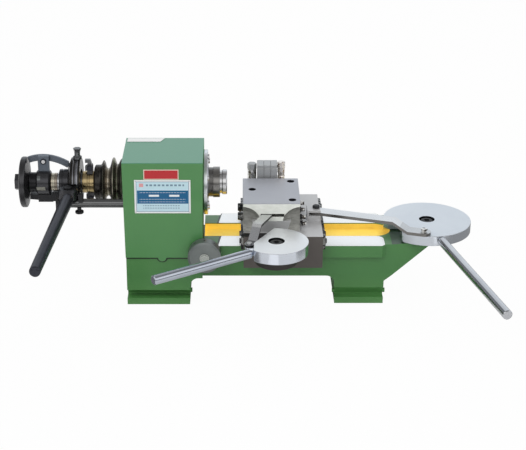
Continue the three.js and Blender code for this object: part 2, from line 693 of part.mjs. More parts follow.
function supportBar() {
  const b = bar;
  const c = barClamp;
  const at = (x, z = b.height) => [x, b.side, z];
  const under = b.height - 2 * b.radius;
  return cut(join(bar3(at(b.start), at(b.end), b.radius), bar3(at(b.spigotStart), at(b.start + overlapIn),
    b.spigotRadius, smallSides), box(c.start, c.end, c.front, c.back, b.height, c.top)),
  bar3(at(lever.pivotX, under), at(lever.pivotX, b.height + 2 * b.radius), pivotPin.radius + turnGap, smallSides),
  bar3(at(knob.x, under), at(knob.x, b.height + seatGap), knob.stemRadius + turnGap, smallSides));
}

function cradleArm() {
  const c = cradle;
  const top = axisHeight - block.flat;
  const body = fromFront([
    [c.start, c.startBottom], [c.bossStart + cutOver, c.bottom], [c.bossStart + cutOver, c.webTop],
    [c.neckEnd, c.webTop], [c.neckEnd, c.neckTop], [c.seatEnd, c.neckTop], [c.seatEnd, top], [c.start, top],
  ], -c.half, c.half);
  const boss = fromEnd([
    [c.half, c.bottom], [c.half, c.webTop], [c.webBack, c.webTop], [c.bossBack, c.bossTop], [c.bossFront, c.bossTop],
    [c.bossFront, c.bossBottom], [c.webBack, c.bottom],
  ], c.bossStart, c.end);
  const bore = bar3([c.bossStart - cutOver, bar.side, bar.height], [c.end + cutOver, bar.side, bar.height],
    bar.spigotRadius + turnGap, smallSides);
  const p = clampPlate;
  const screwX = (p.start + p.end) / 2;
  const plateTop = c.bottom + p.rise;
  return cut(join(body, boss,
    box(p.start, p.end, -p.half, p.half, plateTop - p.thick, plateTop + c.half),
    bar3([screwX, 0, plateTop - p.thick - p.tipHeight], [screwX, 0, plateTop], p.tipRadius, smallSides)), bore);
}

function guideBlock() {
  const b = block;
  const outer = turned([
    [b.start, 0], [b.start, b.radius - b.chamfer], [b.start + b.chamfer, b.radius], [b.end - b.chamfer, b.radius],
    [b.end, b.radius - b.chamfer], [b.end, 0],
  ]);
  const over = b.radius + cutOver;
  const flatTop = box(b.start - cutOver, b.end + cutOver, -over, over, axisHeight + b.flat, axisHeight + over);
  const flatBottom = box(b.start - cutOver, b.end + cutOver, -over, over, axisHeight - over, axisHeight - b.flat);
  const windowX = (b.start + b.end) / 2;
  const windowCut = box(windowX - b.window, windowX + b.window, -over, -b.radius + b.windowDepth,
    axisHeight - b.window, axisHeight);
  return cut(outer, drum(b.start - cutOver, b.end + cutOver, wheel.hub + turnGap), flatTop, flatBottom, windowCut);
}

function lugPlate() {
  const base = axisHeight + block.flat;
  const x = (lug.start + lug.end) / 2;
  return cut(box(lug.start, lug.end, -lug.half, lug.half, base, base + lug.height),
    bar3([x, -lug.half - cutOver, lugPinHeight], [x, lug.half + cutOver, lugPinHeight],
      lugPin.radius + turnGap, smallSides));
}

function lugPinShape() {
  const z = lugPinHeight;
  const x = (lug.start + lug.end) / 2;
  const front = -lug.half - seatGap;
  const back = lug.half + 2 * seatGap + stopArm.thick;
  return join(
    bar3([x, front - overlapIn, z], [x, back, z], lugPin.radius, smallSides),
    bar3([x, front - lugPin.headThick, z], [x, front, z], lugPin.head, smallSides),
  );
}

function stopArmShape() {
  const a = stopArm;
  const steps = 2 * arcSteps;
  const centre = Array.from({ length: steps + 1 }, (_, i) => {
    const t = i / steps;
    return new THREE.Vector2(a.start + (a.end - a.start) * t,
      a.startHeight + (a.endHeight - a.startHeight) * t + a.rise * 4 * t * (1 - t));
  });
  const side = (sign) => centre.map((point, i) => {
    const before = centre[Math.max(i - 1, 0)];
    const after = centre[Math.min(i + 1, steps)];
    const along = after.clone().sub(before).normalize();
    return [point.x - sign * along.y * a.width / 2, point.y + sign * along.x * a.width / 2];
  });
  const front = lug.half + seatGap;
  const z = lugPinHeight;
  const x = (lug.start + lug.end) / 2;
  const over = box(a.end, a.end + 3 * cutOver, 0, front + 2 * a.thick,
    a.endHeight - 2 * a.width, a.endHeight + 2 * a.width);
  return cut(fromFront([...side(-1), ...side(1).reverse()], front, front + a.thick),
    bar3([x, 0, z], [x, front + a.thick + cutOver, z], lugPin.radius + turnGap, smallSides), over);
}

// Adjusting wheel
function adjustWheel() {
  const a = adjust;
  const disc = bar3([a.x, a.face, a.z], [a.x, a.back, a.z], a.radius, discSides);
  const rimHoles = Array.from({ length: a.holes }, (_, i) => {
    const angle = fullTurn * (i + halfShare) / a.holes;
    const way = [Math.cos(angle), Math.sin(angle)];
    const y = (a.face + a.back) / 2;
    const near = a.radius - a.holeDepth;
    const far = a.radius + cutOver;
    return bar3([a.x + near * way[0], y, a.z + near * way[1]], [a.x + far * way[0], y, a.z + far * way[1]],
      a.holeRadius, arcSteps);
  });
  const bore = bar3([a.x, a.face - cutOver, a.z], [a.x, a.back + cutOver, a.z], a.shaftRadius + turnGap, smallSides);
  return cut(disc, bore, ...rimHoles);
}

function adjustShaft() {
  const a = adjust;
  const seat = a.face - seatGap;
  return join(
    bar3([a.x, seat - overlapIn, a.z], [a.x, -bedWall + a.shaftIn - seatGap, a.z], a.shaftRadius, smallSides),
    bar3([a.x, seat - a.nutThick, a.z], [a.x, seat, a.z], a.nutRadius, smallSides),
  );
}

// Carriage
function saddleBody() {
  const s = saddle;
  const inner = wayOuter + seatGap;
  const lipIn = bedWall + seatGap;
  const lipTop = wayTop - wayDepth - seatGap;
  const plateBottom = wayTop + seatGap;
  const d = dovetail;
  const tail = fromFront([
    [d.left + d.under, s.top - overlapIn], [d.right - d.under, s.top - overlapIn], [d.right - d.under, s.top],
    [d.right, s.top + d.height], [d.left, s.top + d.height], [d.left + d.under, s.top],
  ], -d.front, d.back);
  return join(
    box(s.start, s.end, -s.front, s.back, plateBottom, s.top),
    box(s.start, s.end, -s.front, -inner, s.apronBottom, plateBottom + overlapIn),
    box(s.start, s.end, inner, s.front, s.apronBottom, plateBottom + overlapIn),
    box(s.start, s.end, -inner - overlapIn, -lipIn, s.apronBottom, lipTop),
    box(s.start, s.end, lipIn, inner + overlapIn, s.apronBottom, lipTop),
    tail, clevisShape(),
  );
}

function crossSlide() {
  const s = slide;
  const d = dovetail;
  const bottom = saddle.top + seatGap;
  const groove = fromFront([
    [d.left + d.under - seatGap, bottom - cutOver], [d.right - d.under + seatGap, bottom - cutOver],
    [d.right - d.under + seatGap, saddle.top], [d.right + seatGap, saddle.top + d.height],
    [d.right + seatGap, bottom + d.height], [d.left - seatGap, bottom + d.height],
    [d.left - seatGap, saddle.top + d.height], [d.left + d.under - seatGap, saddle.top],
  ], -s.front - cutOver, s.rearBack + cutOver);
  const dent = (x) => {
    const ball = new THREE.SphereGeometry(1, 2 * smallSides, smallSides);
    ball.scale(scoop.wide, scoop.deep, scoop.high);
    ball.translate(x, -s.front - scoop.out, scoop.level);
    return solid(ball);
  };
  const length = s.front + s.back;
  const taps = tapHole.placesShares.map(([x, y]) => {
    const at = [s.left + x * (s.right - s.left), -s.front + y * length];
    return bar3([...at, s.top - tapHole.depth], [...at, s.top + cutOver], tapHole.radius, smallSides);
  });
  const slot = box(slotCut.left, slotCut.right, -s.front - cutOver, -s.front + slotCut.depth,
    slotCut.bottom, slotCut.bottom + slotCut.height);
  const pin = bar3([link.startX, link.startY, slotCut.bottom - overlapIn],
    [link.startX, link.startY, slotCut.bottom + slotCut.height + overlapIn], link.pin, smallSides);
  return join(cut(join(box(s.left, s.right, -s.front, s.back, bottom, s.top),
    box(s.rearLeft, s.rearRight, s.back - overlapIn, s.rearBack, bottom, s.rearTop)),
  groove, dent(s.left - scoop.out), dent(s.right + scoop.out), slot, ...taps), pin);
}

function gibScrewShape(share) {
  const y = -slide.front + share * (slide.front + slide.back);
  const x = slide.right;
  return join(hexAlong([x, y, gibScrew.height], [x + gibScrew.headThick, y, gibScrew.height], gibScrew.head),
    bar3([x + gibScrew.headThick - overlapIn, y, gibScrew.height], [x + gibScrew.length, y, gibScrew.height],
      gibScrew.radius, smallSides));
}

function stopKnobShape(share) {
  const y = -slide.front + share * (slide.front + slide.back);
  return bar3([slide.left - stopKnob.length, y, stopKnob.height], [slide.left, y, stopKnob.height],
    stopKnob.radius, smallSides);
}

function wiperShape(way) {
  const w = wiper;
  const x = way > 0 ? saddle.end : saddle.start - w.thick;
  const outer = way > 0 ? x + w.thick : x;
  const far = saddle.front - w.inset;
  const bottom = wayTop + seatGap;
  const z = bottom + w.height / 2;
  const heads = w.screwPlaces.flatMap((y) => [y, -y]).map((y) => (
    bar3([outer - way * overlapIn, y, z], [outer + way * w.screwHead, y, z], w.screw, smallSides)));
  return join(box(x, x + w.thick, -far, far, bottom, bottom + w.height), ...heads);
}

function postPlateShape(i) {
  const p = postPlate;
  const x = p.start + i * (p.width + p.gap);
  return join(box(x, x + p.width, p.front, p.back, slide.rearTop, p.top - p.stepHeight),
    box(x, x + p.width, p.front + p.step, p.back, p.top - p.stepHeight - overlapIn, p.top));
}

function postBoltShape(x, rise, radius, head, sides) {
  const y = (postPlate.front + postPlate.back) / 2;
  const top = postPlate.top + rise;
  return join(bar3([x, y, slide.rearTop], [x, y, top - postBolt.head + overlapIn], radius, smallSides),
    bar3([x, y, top - postBolt.head], [x, y, top], head, sides));
}

// Hand cranks
function crankDisc(crank, outlinePoints, pin, ...ears) {
  const top = crank.thick;
  const angle = crank.handleTurn * Math.PI / 180;
  const reach = crank.handleStart + cutOver;
  const tangHole = bar3([crank.handleRoot * Math.cos(angle), crank.handleRoot * Math.sin(angle), top / 2],
    [reach * Math.cos(angle), reach * Math.sin(angle), top / 2], tang.radius + turnGap, smallSides);
  const recess = bar3([0, 0, top - crank.recessDepth], [0, 0, top + cutOver], crank.recess);
  const bore = bar3([0, 0, -cutOver], [0, 0, top], crank.screwRadius + turnGap);
  const pinHole = bar3([pin.x, pin.y, -cutOver], [pin.x, pin.y, top + cutOver], pin.hole, smallSides);
  return cut(join(fromTop(outlinePoints, 0, top), ...ears), tangHole, recess, bore, pinHole);
}

function bigDisc() {
  const c = bigCrank;
  const start = Math.atan2(-Math.sqrt(c.radius ** 2 - c.notchX ** 2), c.notchX);
  const end = Math.atan2(c.notchY, -Math.sqrt(c.radius ** 2 - c.notchY ** 2));
  return crankDisc(c, [...arc(0, 0, c.radius, start, end + fullTurn, discSides), [c.notchX, c.notchY]], bigPin);
}

function smallDisc() {
  const c = smallCrank;
  const p = smallPin;
  const start = Math.atan2(-Math.sqrt(c.radius ** 2 - c.flatX ** 2), c.flatX);
  const end = Math.atan2(Math.sqrt(c.radius ** 2 - c.chordX ** 2), c.chordX);
  const low = p.earBottom - c.bottom;
  const high = p.earTop - c.bottom;
  return crankDisc(c, [...arc(0, 0, c.radius, start, end, discSides), [c.flatX, c.cornerY]], p,
    bar3([p.x, p.y, low], [p.x, p.y, high], p.earRadius, smallSides),
    box(p.x, c.flatX + p.earRadius, p.y - p.earRadius, p.y + p.earRadius, low, high));
}

function handleShape(crank) {
  const z = crank.thick / 2;
  return join(
    bar3([crank.handleRoot + seatGap, 0, z], [crank.handleStart + overlapIn, 0, z], tang.radius, smallSides),
    bar3([crank.handleStart, 0, z], [crank.handleEnd - tang.tip, 0, z], crank.handleRadius),
    bar3([crank.handleEnd - tang.tip, 0, z], [crank.handleEnd, 0, z], crank.handleRadius, roundSides,
      crank.handleRadius - tang.tip / 2),
  );
}

function pivotScrew(crank, depth) {
  const head = crank.thick - crank.recessDepth + seatGap;
  const top = crank.thick - tang.tip;
  const body = join(bar3([0, 0, -depth], [0, 0, head + overlapIn], crank.screwRadius),
    bar3([0, 0, head], [0, 0, top], crank.screwHead));
  return cut(body, hexAlong([0, 0, top - socket.depth], [0, 0, top + cutOver], socket.radius));
}

function crankBracket() {
  const c = smallCrank;
  const back = -saddle.front;
  const points = [
    [c.x - crankBoss.radius, back], ...arc(c.x, c.y, crankBoss.radius, Math.PI, fullTurn, 2 * arcSteps),
    [c.x + crankBoss.radius, back],
  ];
  const top = c.bottom - discWasher;
  const bore = bar3([c.x, c.y, top - crankBoss.thick - cutOver], [c.x, c.y, top + cutOver],
    c.screwRadius + turnGap, smallSides);
  return cut(fromTop(points, top - crankBoss.thick, top), bore);
}

// A bent flat bar, drawn along its own run from its first pin to its second
function bentBar(bend, length, drop, firstHole, pin, depth) {
  const { thick, width, dropStart, dropEnd } = bend;
  const half = width / 2;
  const side = fromFront([
    [-half, 0], [dropStart, 0], [dropEnd, -drop], [length + half, -drop], [length + half, thick - drop],
    [dropEnd, thick - drop], [dropStart, thick], [-half, thick],
  ], -half, half);
  const plan = fromTop([
    ...arc(0, 0, half, quarterTurn, 3 * quarterTurn), ...arc(length, 0, half, -quarterTurn, quarterTurn),
  ], -drop - cutOver, thick + cutOver);
  const hole = bar3([0, 0, -drop - cutOver], [0, 0, thick + cutOver], firstHole, smallSides);
  const foot = thick - drop;
  return join(cut(side.intersect(plan), hole),
    bar3([length, 0, -drop - depth], [length, 0, foot], pin.radius, smallSides),
    bar3([length, 0, foot - overlapIn], [length, 0, foot + pin.headThick], pin.head, smallSides));
}

function clevisShape() {
  const c = clevis;
  const base = arm.level - seatGap;
  const earLow = arm.level + arm.thick + seatGap;
  const earHigh = earLow + c.earThick;
  const bore = bar3([c.x, c.y, saddle.top + seatGap], [c.x, c.y, earHigh + cutOver], c.pin + turnGap, smallSides);
  return cut(join(
    box(c.left, c.right, c.front, c.back, saddle.top - overlapIn, base),
    box(c.left, c.left + c.wall, c.front, c.back, base - overlapIn, earHigh),
    box(c.left, c.right, c.front, c.back, earLow, earHigh),
  ), bore);
}

function clevisPin() {
  const c = clevis;
  const seat = arm.level + arm.thick + 2 * seatGap + c.earThick;
  return join(
    bar3([c.x, c.y, saddle.top + 2 * seatGap], [c.x, c.y, seat + overlapIn], c.pin, smallSides),
    bar3([c.x, c.y, seat], [c.x, c.y, seat + c.headThick], c.head, smallSides),
  );
}

// Assembly
const lathe = new THREE.Group();
const add = (name, shape, look, parent = lathe) => parent.add(node(name, shape, look));

add('bed_casting', bedCasting(), greenPaint);
add('headstock_casting', headstockCasting(), greenPaint);
add('headstock_cover', headstockCover(), coverPaint);
add('front_bearing_cap', frontCap(), blackSteel);
add('front_bearing', bearingRing(spindle.frontStart, spindle.frontStart + bearing.width), steel);
add('rear_bearing', bearingRing(spindle.rearStart + 2 * seatGap, spindle.rearStart + bearing.width), steel);
add('red_plate', plate(plates.red), redPlate);
add('data_plate', plate(plates.data), bluePlate);
add('top_label', topLabel(), whitePlate);

add('spindle_shaft', spindleShaft(), steel);
add('nose_ring', noseRing(), blackSteel);
add('collet', collet(), steel);
add('step_pulley', stepPulley(), blackSteel);
add('finger_carrier', fingerCarrier(), brass);
add('closer_finger_top', closerFinger(1), bluedSteel);
add('closer_finger_bottom', closerFinger(-1), bluedSteel);
add('draw_tube', drawTube(), steel);
add('draw_handwheel', drawWheel(), blackSteel);
add('end_nut', tubeNut(), blackSteel);
add('brass_sleeve', boredDrum(brassSleeve, wheel.bore), brass);
add('lock_ring', boredDrum(lockRing, wheel.bore), steel);
add('shift_collar', shiftCollar(), blackSteel);
add('shift_ring', shiftRing(), blackSteel);
add('ring_top_bolt', topBolt(), steel);
add('closer_lever', closerLever(), blackSteel);
add('lever_pivot_pin', leverPivotPin(), steel);
add('bar_clamp_knob', clampKnob(), blackSteel);
add('support_bar', supportBar(), blackSteel);
add('cradle_arm', cradleArm(), blackSteel);
add('guide_block', guideBlock(), blackSteel);
add('lug_plate', lugPlate(), bluedSteel);
add('lug_pin', lugPinShape(), steel);
add('stop_arm', stopArmShape(), bluedSteel);

add('adjusting_wheel', adjustWheel(), groundSteel);
add('adjusting_shaft', adjustShaft(), steel);

add('saddle', saddleBody(), groundSteel);
add('wiper_left', wiperShape(-1), blackSteel);
add('wiper_right', wiperShape(1), blackSteel);
add('small_crank_bracket', crankBracket(), blackSteel);
add('cross_slide', crossSlide(), groundSteel);
gibScrew.placesShares.forEach((share, i) => add(`gib_screw_${i + 1}`, gibScrewShape(share), steel));
stopKnob.placesShares.forEach((share, i) => add(`stop_knob_${i + 1}`, stopKnobShape(share), blackSteel));
for (let i = 0; i < postPlate.count; i += 1) {
  add(`tool_post_plate_${i + 1}`, postPlateShape(i), groundSteel);
}
const { leftX, leftRise, leftRadius, headLeft, rightX, rightRise, rightRadius, headRight } = postBolt;
add('tool_post_bolt_left', postBoltShape(leftX, leftRise, leftRadius, headLeft, hexSides), steel);
add('tool_post_bolt_right', postBoltShape(rightX, rightRise, rightRadius, headRight, smallSides), brass);

function addCrank(name, crank, disc, screwDepth) {
  const group = new THREE.Group();
  group.position.set(crank.x, crank.y, crank.bottom);
  add(`${name}_crank_disc`, disc, chrome, group);
  add(`${name}_pivot_screw`, pivotScrew(crank, screwDepth), blackSteel, group);
  const handle = node(`${name}_crank_handle`, handleShape(crank), chrome);
  handle.rotation.z = crank.handleTurn * Math.PI / 180;
  group.add(handle);
  lathe.add(group);
}
addCrank('carriage', bigCrank, bigDisc(), crankBoss.thick);
addCrank('slide', smallCrank, smallDisc(), crankBoss.thick - tang.tip);

function addBentBar(name, bend, from, to, drop, firstHole, pin, depth) {
  const run = new THREE.Vector2(to[0] - from[0], to[1] - from[1]);
  const mesh = node(name, bentBar(bend, run.length(), drop, firstHole, pin, depth), chrome);
  mesh.position.set(from[0], from[1], bend.level);
  mesh.rotation.z = run.angle();
  lathe.add(mesh);
}
const armDrop = arm.level - bigCrank.bottom - bigCrank.thick - discWasher;
const linkDrop = link.level - smallPin.earTop - discWasher;
addBentBar('carriage_arm', arm, [clevis.x, clevis.y], [bigCrank.x + bigPin.x, bigCrank.y + bigPin.y], armDrop,
  clevis.pin + turnGap, bigPin, bigPin.depth);
addBentBar('slide_link', link, [link.startX, link.startY],
  [smallCrank.x + smallPin.x, smallCrank.y + smallPin.y], linkDrop, link.pin + turnGap, smallPin,
  smallPin.earTop - smallPin.earBottom);
add('clevis_pin', clevisPin(), steel);

export default lathe;
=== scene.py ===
import json
import math

import bmesh
import bpy
from mathutils import Matrix, Vector


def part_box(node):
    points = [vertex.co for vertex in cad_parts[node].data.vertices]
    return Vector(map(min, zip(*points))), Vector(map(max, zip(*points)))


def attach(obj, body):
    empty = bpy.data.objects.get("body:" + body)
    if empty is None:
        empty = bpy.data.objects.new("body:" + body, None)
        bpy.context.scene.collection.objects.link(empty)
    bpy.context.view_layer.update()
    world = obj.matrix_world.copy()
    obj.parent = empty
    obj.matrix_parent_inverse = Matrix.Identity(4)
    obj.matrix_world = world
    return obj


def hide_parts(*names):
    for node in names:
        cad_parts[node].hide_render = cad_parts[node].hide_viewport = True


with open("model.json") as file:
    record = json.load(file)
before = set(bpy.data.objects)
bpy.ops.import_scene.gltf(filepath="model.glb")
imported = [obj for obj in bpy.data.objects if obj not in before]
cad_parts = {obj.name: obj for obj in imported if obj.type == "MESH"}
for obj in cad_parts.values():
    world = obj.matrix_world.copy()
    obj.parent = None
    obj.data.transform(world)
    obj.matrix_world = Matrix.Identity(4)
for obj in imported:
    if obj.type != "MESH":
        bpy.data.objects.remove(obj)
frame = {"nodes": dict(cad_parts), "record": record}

mm = 0.001
fullTurn = 2 * math.pi
axisZ = 221
yWay, zWay = (0, 1, 0), (0, 0, 1)
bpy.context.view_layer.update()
bodyOfNode = {n: b for b, ns in frame["record"]["behaviour"]["bodies"].items() for n in ns}


def shift(place):
    return Matrix.Translation(place)


def aboutX(angle):
    return Matrix.Rotation(angle, 4, "X")


spindleLine = shift((0, 0, axisZ))


def span(node):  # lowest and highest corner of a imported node, in millimetres
    low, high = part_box(node)
    return low / mm, high / mm


def linked(name, data):  # a new object in the scene
    made = bpy.data.objects.new(name, data)
    bpy.context.scene.collection.objects.link(made)
    return made


class Sizes(dict):
    # A piece's dimensions, read as sizes.name
    __getattr__ = dict.__getitem__


# Camera at the photograph's angle
camera = Sizes(place=(0.147, -2.5132, 1.2127), tilt=66.7, sensor=36, lens=95.8, shift=0.053)


def makeCamera():
    data = bpy.data.cameras.new("camera")
    data.sensor_width, data.lens, data.shift_x = camera.sensor, camera.lens, camera.shift
    seen = linked("camera", data)
    seen.location = camera.place
    seen.rotation_euler = (math.radians(camera.tilt), 0, 0)
    bpy.context.scene.camera = seen


makeCamera()
print("camera placed")


def operator(operation, swapped=False):
    def apply(self, other):
        return self.sum(operation, *((other, self) if swapped else (self, other)))
    return apply


class Wire:
    # A socket with arithmetic: each sum or product adds a Math node

    def __init__(self, finish, socket):
        self.finish = finish
        self.socket = socket

    def sum(self, operation, *values):
        inputs = dict(enumerate(values))
        return self.finish.node("Math", {"operation": operation}, inputs)

    def fraction(self):
        return self.sum("FRACT", self)

    __add__, __radd__ = operator("ADD"), operator("ADD", True)
    __sub__, __rsub__ = operator("SUBTRACT"), operator("SUBTRACT", True)
    __mul__, __rmul__ = operator("MULTIPLY"), operator("MULTIPLY", True)
    __gt__, __lt__ = operator("GREATER_THAN"), operator("LESS_THAN")


finishes = {}


class Finish:
    # A material whose nodes are written as expressions

    def __init__(self, name, **constants):
        self.name = name
        self.material = finishes[name] = bpy.data.materials.new(name)
        self.material.use_nodes = True
        self.tree = self.material.node_tree
        self.shader = self.tree.nodes["Principled BSDF"]
        for key, value in constants.items():
            self.set(key.replace("_", " "), value)

    def node(self, kind, settings, inputs, output=0):
        made = self.tree.nodes.new("ShaderNode" + kind)
        for key, value in settings.items():
            if key == "stops":
                self.rampStops(made.color_ramp, value)
            else:
                setattr(made, key, value)
        for key, value in inputs.items():
            self.feed(made.inputs[key], value)
        return Wire(self, made.outputs[output])

    def rampStops(self, ramp, stops):
        while len(ramp.elements) < len(stops):
            ramp.elements.new(0.5)
        for element, (at, colour) in zip(ramp.elements, stops):
            element.position = at
            element.color = (*colour, 1) if hasattr(colour, "__len__") else (colour, colour, colour, 1)

    def feed(self, socket, value):
        if isinstance(value, Wire):
            self.tree.links.new(value.socket, socket)
        elif hasattr(value, "__len__") and len(value) == 3 and socket.type == "RGBA":
            socket.default_value = (*value, 1)
        else:
            socket.default_value = value

    def set(self, name, value):
        self.feed(self.shader.inputs[name], value)

    def place(self):
        return self.node("TexCoord", {}, {}, "Object")

    def along(self, axis):
        return self.node("SeparateXYZ", {}, {"Vector": self.place()}, axis)

    def axes(self):
        return [self.along(axis) for axis in "XYZ"]

    def facing(self, axis):  # the surface's own direction
        normal = self.node("TexCoord", {}, {}, "Normal")
        return self.node("SeparateXYZ", {}, {"Vector": normal}, axis)

    def vector(self, operation, values, output=0):
        return self.node("VectorMath", {"operation": operation}, dict(enumerate(values)), output)

    def stretched(self, scale):
        return self.vector("MULTIPLY", (self.place(), scale))

    def noise(self, scale, detail=2, where=None, roughness=0.5):
        inputs = {"Vector": where or self.place(), "Scale": scale, "Detail": detail, "Roughness": roughness}
        return self.node("TexNoise", {}, inputs)

    def marks(self, stretch, scale=260):  # stretch is small along the tool marks and large across them
        return self.noise(scale, 3, self.stretched(stretch), 0.6)

    def ramp(self, value, *stops):
        return self.node("ValToRGB", {"stops": stops}, {"Fac": value})

    def mix(self, share, first, second):
        inputs = {"Factor": share, 6: first, 7: second}
        return self.node("Mix", {"data_type": "RGBA"}, inputs, 2)

    def between(self, value, low, high):
        return (value > low) * (value < high)

    def inside(self, across, level, left, bottom, right, top):
        return self.between(across, left, right) * self.between(level, bottom, top)

    def surface(self, colour, roughness, height, strength, depth=0.0001):
        self.colour = colour
        self.set("Base Color", colour)
        self.set("Roughness", roughness)
        inputs = {"Height": height, "Strength": strength, "Distance": depth}
        self.set("Normal", self.node("Bump", {}, inputs))


# Outlines and meshes
edgeSteps = 3
keepStraight = 2.8  # corners nearly this flat, in radians, stay
sideShare = 0.45  # of the shorter side that a rounded corner may take
axisGap = 0.02  # closes a solid turned piece beside its own axis


def rounded(points, radius, steps=edgeSteps):  # a closed outline with its corners rounded
    made = []
    count = len(points)
    for i, point in enumerate(points):
        here = Vector(point)
        back = Vector(points[i - 1]) - here
        ahead = Vector(points[(i + 1) % count]) - here
        corner = back.angle(ahead, math.pi)
        if corner > keepStraight or radius <= 0:
            made.append(tuple(here))
            continue
        reach = min(radius / math.tan(corner / 2), sideShare * back.length, sideShare * ahead.length)
        real = reach * math.tan(corner / 2)
        middle = (back.normalized() + ahead.normalized()).normalized()
        centre = here + middle * (real / math.sin(corner / 2))
        start = here + back.normalized() * reach - centre
        end = here + ahead.normalized() * reach - centre
        first = math.atan2(start.y, start.x)
        turn = (math.atan2(end.y, end.x) - first + math.pi) % fullTurn - math.pi
        for step in range(steps + 1):
            angle = first + turn * step / steps
            made.append((centre.x + real * math.cos(angle), centre.y + real * math.sin(angle)))
    return made


def arc(x, y, radius, start, end, steps=24):
    angles = [start + (end - start) * i / steps for i in range(steps + 1)]
    return [(x + radius * math.cos(a), y + radius * math.sin(a)) for a in angles]


def circle(x, y, radius, steps=48):
    return arc(x, y, radius, 0, fullTurn, steps)[:-1]


def spin(profile, sides=96):  # turns a closed outline of (along, radius) round the X axis
    shape = bmesh.new()
    rings = []
    for along, radius in profile:
        if radius < 1e-6:
            rings.append([shape.verts.new((along, 0, 0))])
            continue
        turns = [fullTurn * k / sides for k in range(sides)]
        rings.append([shape.verts.new((along, radius * math.cos(a), radius * math.sin(a))) for a in turns])
    for first, second in zip(rings, rings[1:] + rings[:1]):
        if len(first) == 1 and len(second) == 1:
            continue
        for k in range(sides):
            after = (k + 1) % sides
            if len(first) == 1:
                shape.faces.new((first[0], second[after], second[k]))
            elif len(second) == 1:
                shape.faces.new((first[k], first[after], second[0]))
            else:
                shape.faces.new((first[k], first[after], second[after], second[k]))
    bmesh.ops.recalc_face_normals(shape, faces=shape.faces)
    return shape


def turned(outer, bore=0, edge=0.5, sides=96):  # outer is (along, radius) from left to right
    start, end = outer[0][0], outer[-1][0]
    if bore > 0:
        return spin(rounded([(start, bore), *outer, (end, bore)], edge), sides)
    loop = rounded([(start, axisGap), *outer, (end, axisGap)], edge)
    loop = [(x, r) for x, r in loop if r > axisGap]
    return spin([(start, 0), *loop, (end, 0)], sides)


def moved(shape, matrix):
    bmesh.ops.transform(shape, matrix=matrix, verts=shape.verts)
    return shape


def aim(start, way):  # takes the X axis to a line from start along way
    turn = Vector((1, 0, 0)).rotation_difference(Vector(way)).to_matrix().to_4x4()
    return shift(start) @ turn


def upAt(x, y):
    return aim((x, y, 0), zWay)


def aimed(shape, start, way):
    return moved(shape, aim(start, way))


def around(count, first):  # count equal turns; first is the first one's share of a step
    return [fullTurn * (i + first) / count for i in range(count)]


def drilled(points, radius, depth, way, sides=24):  # cutters for a row of round holes
    return [aimed(turned([(0, radius), (depth, radius)], edge=0, sides=sides), p, way) for p in points]


def evaluated(holder):  # its mesh as its modifiers or its bevel make it
    bpy.context.view_layer.update()
    return bpy.data.meshes.new_from_object(holder.evaluated_get(bpy.context.evaluated_depsgraph_get()))


def plate(outline, low, high, edge=0.5, holes=()):  # a flat plate drawn in plan, with eased edges
    curve = bpy.data.curves.new("outline", "CURVE")
    curve.dimensions = "2D"
    curve.fill_mode = "BOTH"
    curve.bevel_depth = edge
    curve.bevel_resolution = edgeSteps - 1
    curve.offset = -edge
    curve.extrude = (high - low) / 2 - edge
    for points in (outline, *holes):
        spline = curve.splines.new("POLY")
        spline.points.add(len(points) - 1)
        for target, (x, y) in zip(spline.points, points):
            target.co = (x, y, 0, 1)
        spline.use_cyclic_u = True
    holder = linked("outline", curve)
    flat = evaluated(holder)
    shape = bmesh.new()
    shape.from_mesh(flat)
    bpy.data.objects.remove(holder)
    bpy.data.curves.remove(curve)
    bpy.data.meshes.remove(flat)
    bmesh.ops.remove_doubles(shape, verts=shape.verts, dist=1e-4)
    bmesh.ops.recalc_face_normals(shape, faces=shape.faces)
    return moved(shape, shift((0, 0, (low + high) / 2)))


def standing(shape):  # a plate drawn in X and Z, its thickness along Y
    return moved(shape, aboutX(math.pi / 2))


def block(low, high, edge=0.6):
    shape = bmesh.new()
    bmesh.ops.create_cube(shape, size=1)
    size = Vector(high) - Vector(low)
    middle = (Vector(high) + Vector(low)) / 2
    moved(shape, shift(middle) @ Matrix.Diagonal((*size, 1)))
    return eased(shape, edge)


def eased(shape, edge, steps=edgeSteps, corner=25):  # small rounds on every sharp edge
    if edge > 0:
        sharp = [e for e in shape.edges if e.is_manifold and e.calc_face_angle(0) > math.radians(corner)]
        bmesh.ops.bevel(shape, geom=sharp, offset=edge, segments=steps, profile=0.5,
                        affect="EDGES", clamp_overlap=True)
    return shape


def fromNode(node, edge):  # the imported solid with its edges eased
    shape = bmesh.new()
    shape.from_mesh(frame["nodes"][node].data)
    moved(shape, Matrix.Scale(1 / mm, 4))
    bmesh.ops.remove_doubles(shape, verts=shape.verts, dist=1e-3)
    bmesh.ops.dissolve_limit(shape, angle_limit=math.radians(1), verts=shape.verts, edges=shape.edges)
    return eased(shape, edge)


def hexPrism(radius, start, end, edge=0.5, tipRadius=None):
    shape = bmesh.new()
    rings = [[shape.verts.new((along, size * math.cos(a), size * math.sin(a))) for a in around(6, 0.5)]
             for along, size in ((start, radius), (end, tipRadius or radius))]
    shape.faces.new(rings[0])
    shape.faces.new(reversed(rings[1]))
    for k in range(6):
        after = (k + 1) % 6
        shape.faces.new((rings[0][k], rings[0][after], rings[1][after], rings[1][k]))
    bmesh.ops.recalc_face_normals(shape, faces=shape.faces)
    return eased(shape, edge)


def joined(*shapes):
    for other in shapes[1:]:
        mesh = bpy.data.meshes.new("part")
        other.to_mesh(mesh)
        shapes[0].from_mesh(mesh)
        bpy.data.meshes.remove(mesh)
    return shapes[0]


def holderOf(shape):
    mesh = bpy.data.meshes.new("cut")
    shape.to_mesh(mesh)
    return linked("cut", mesh)


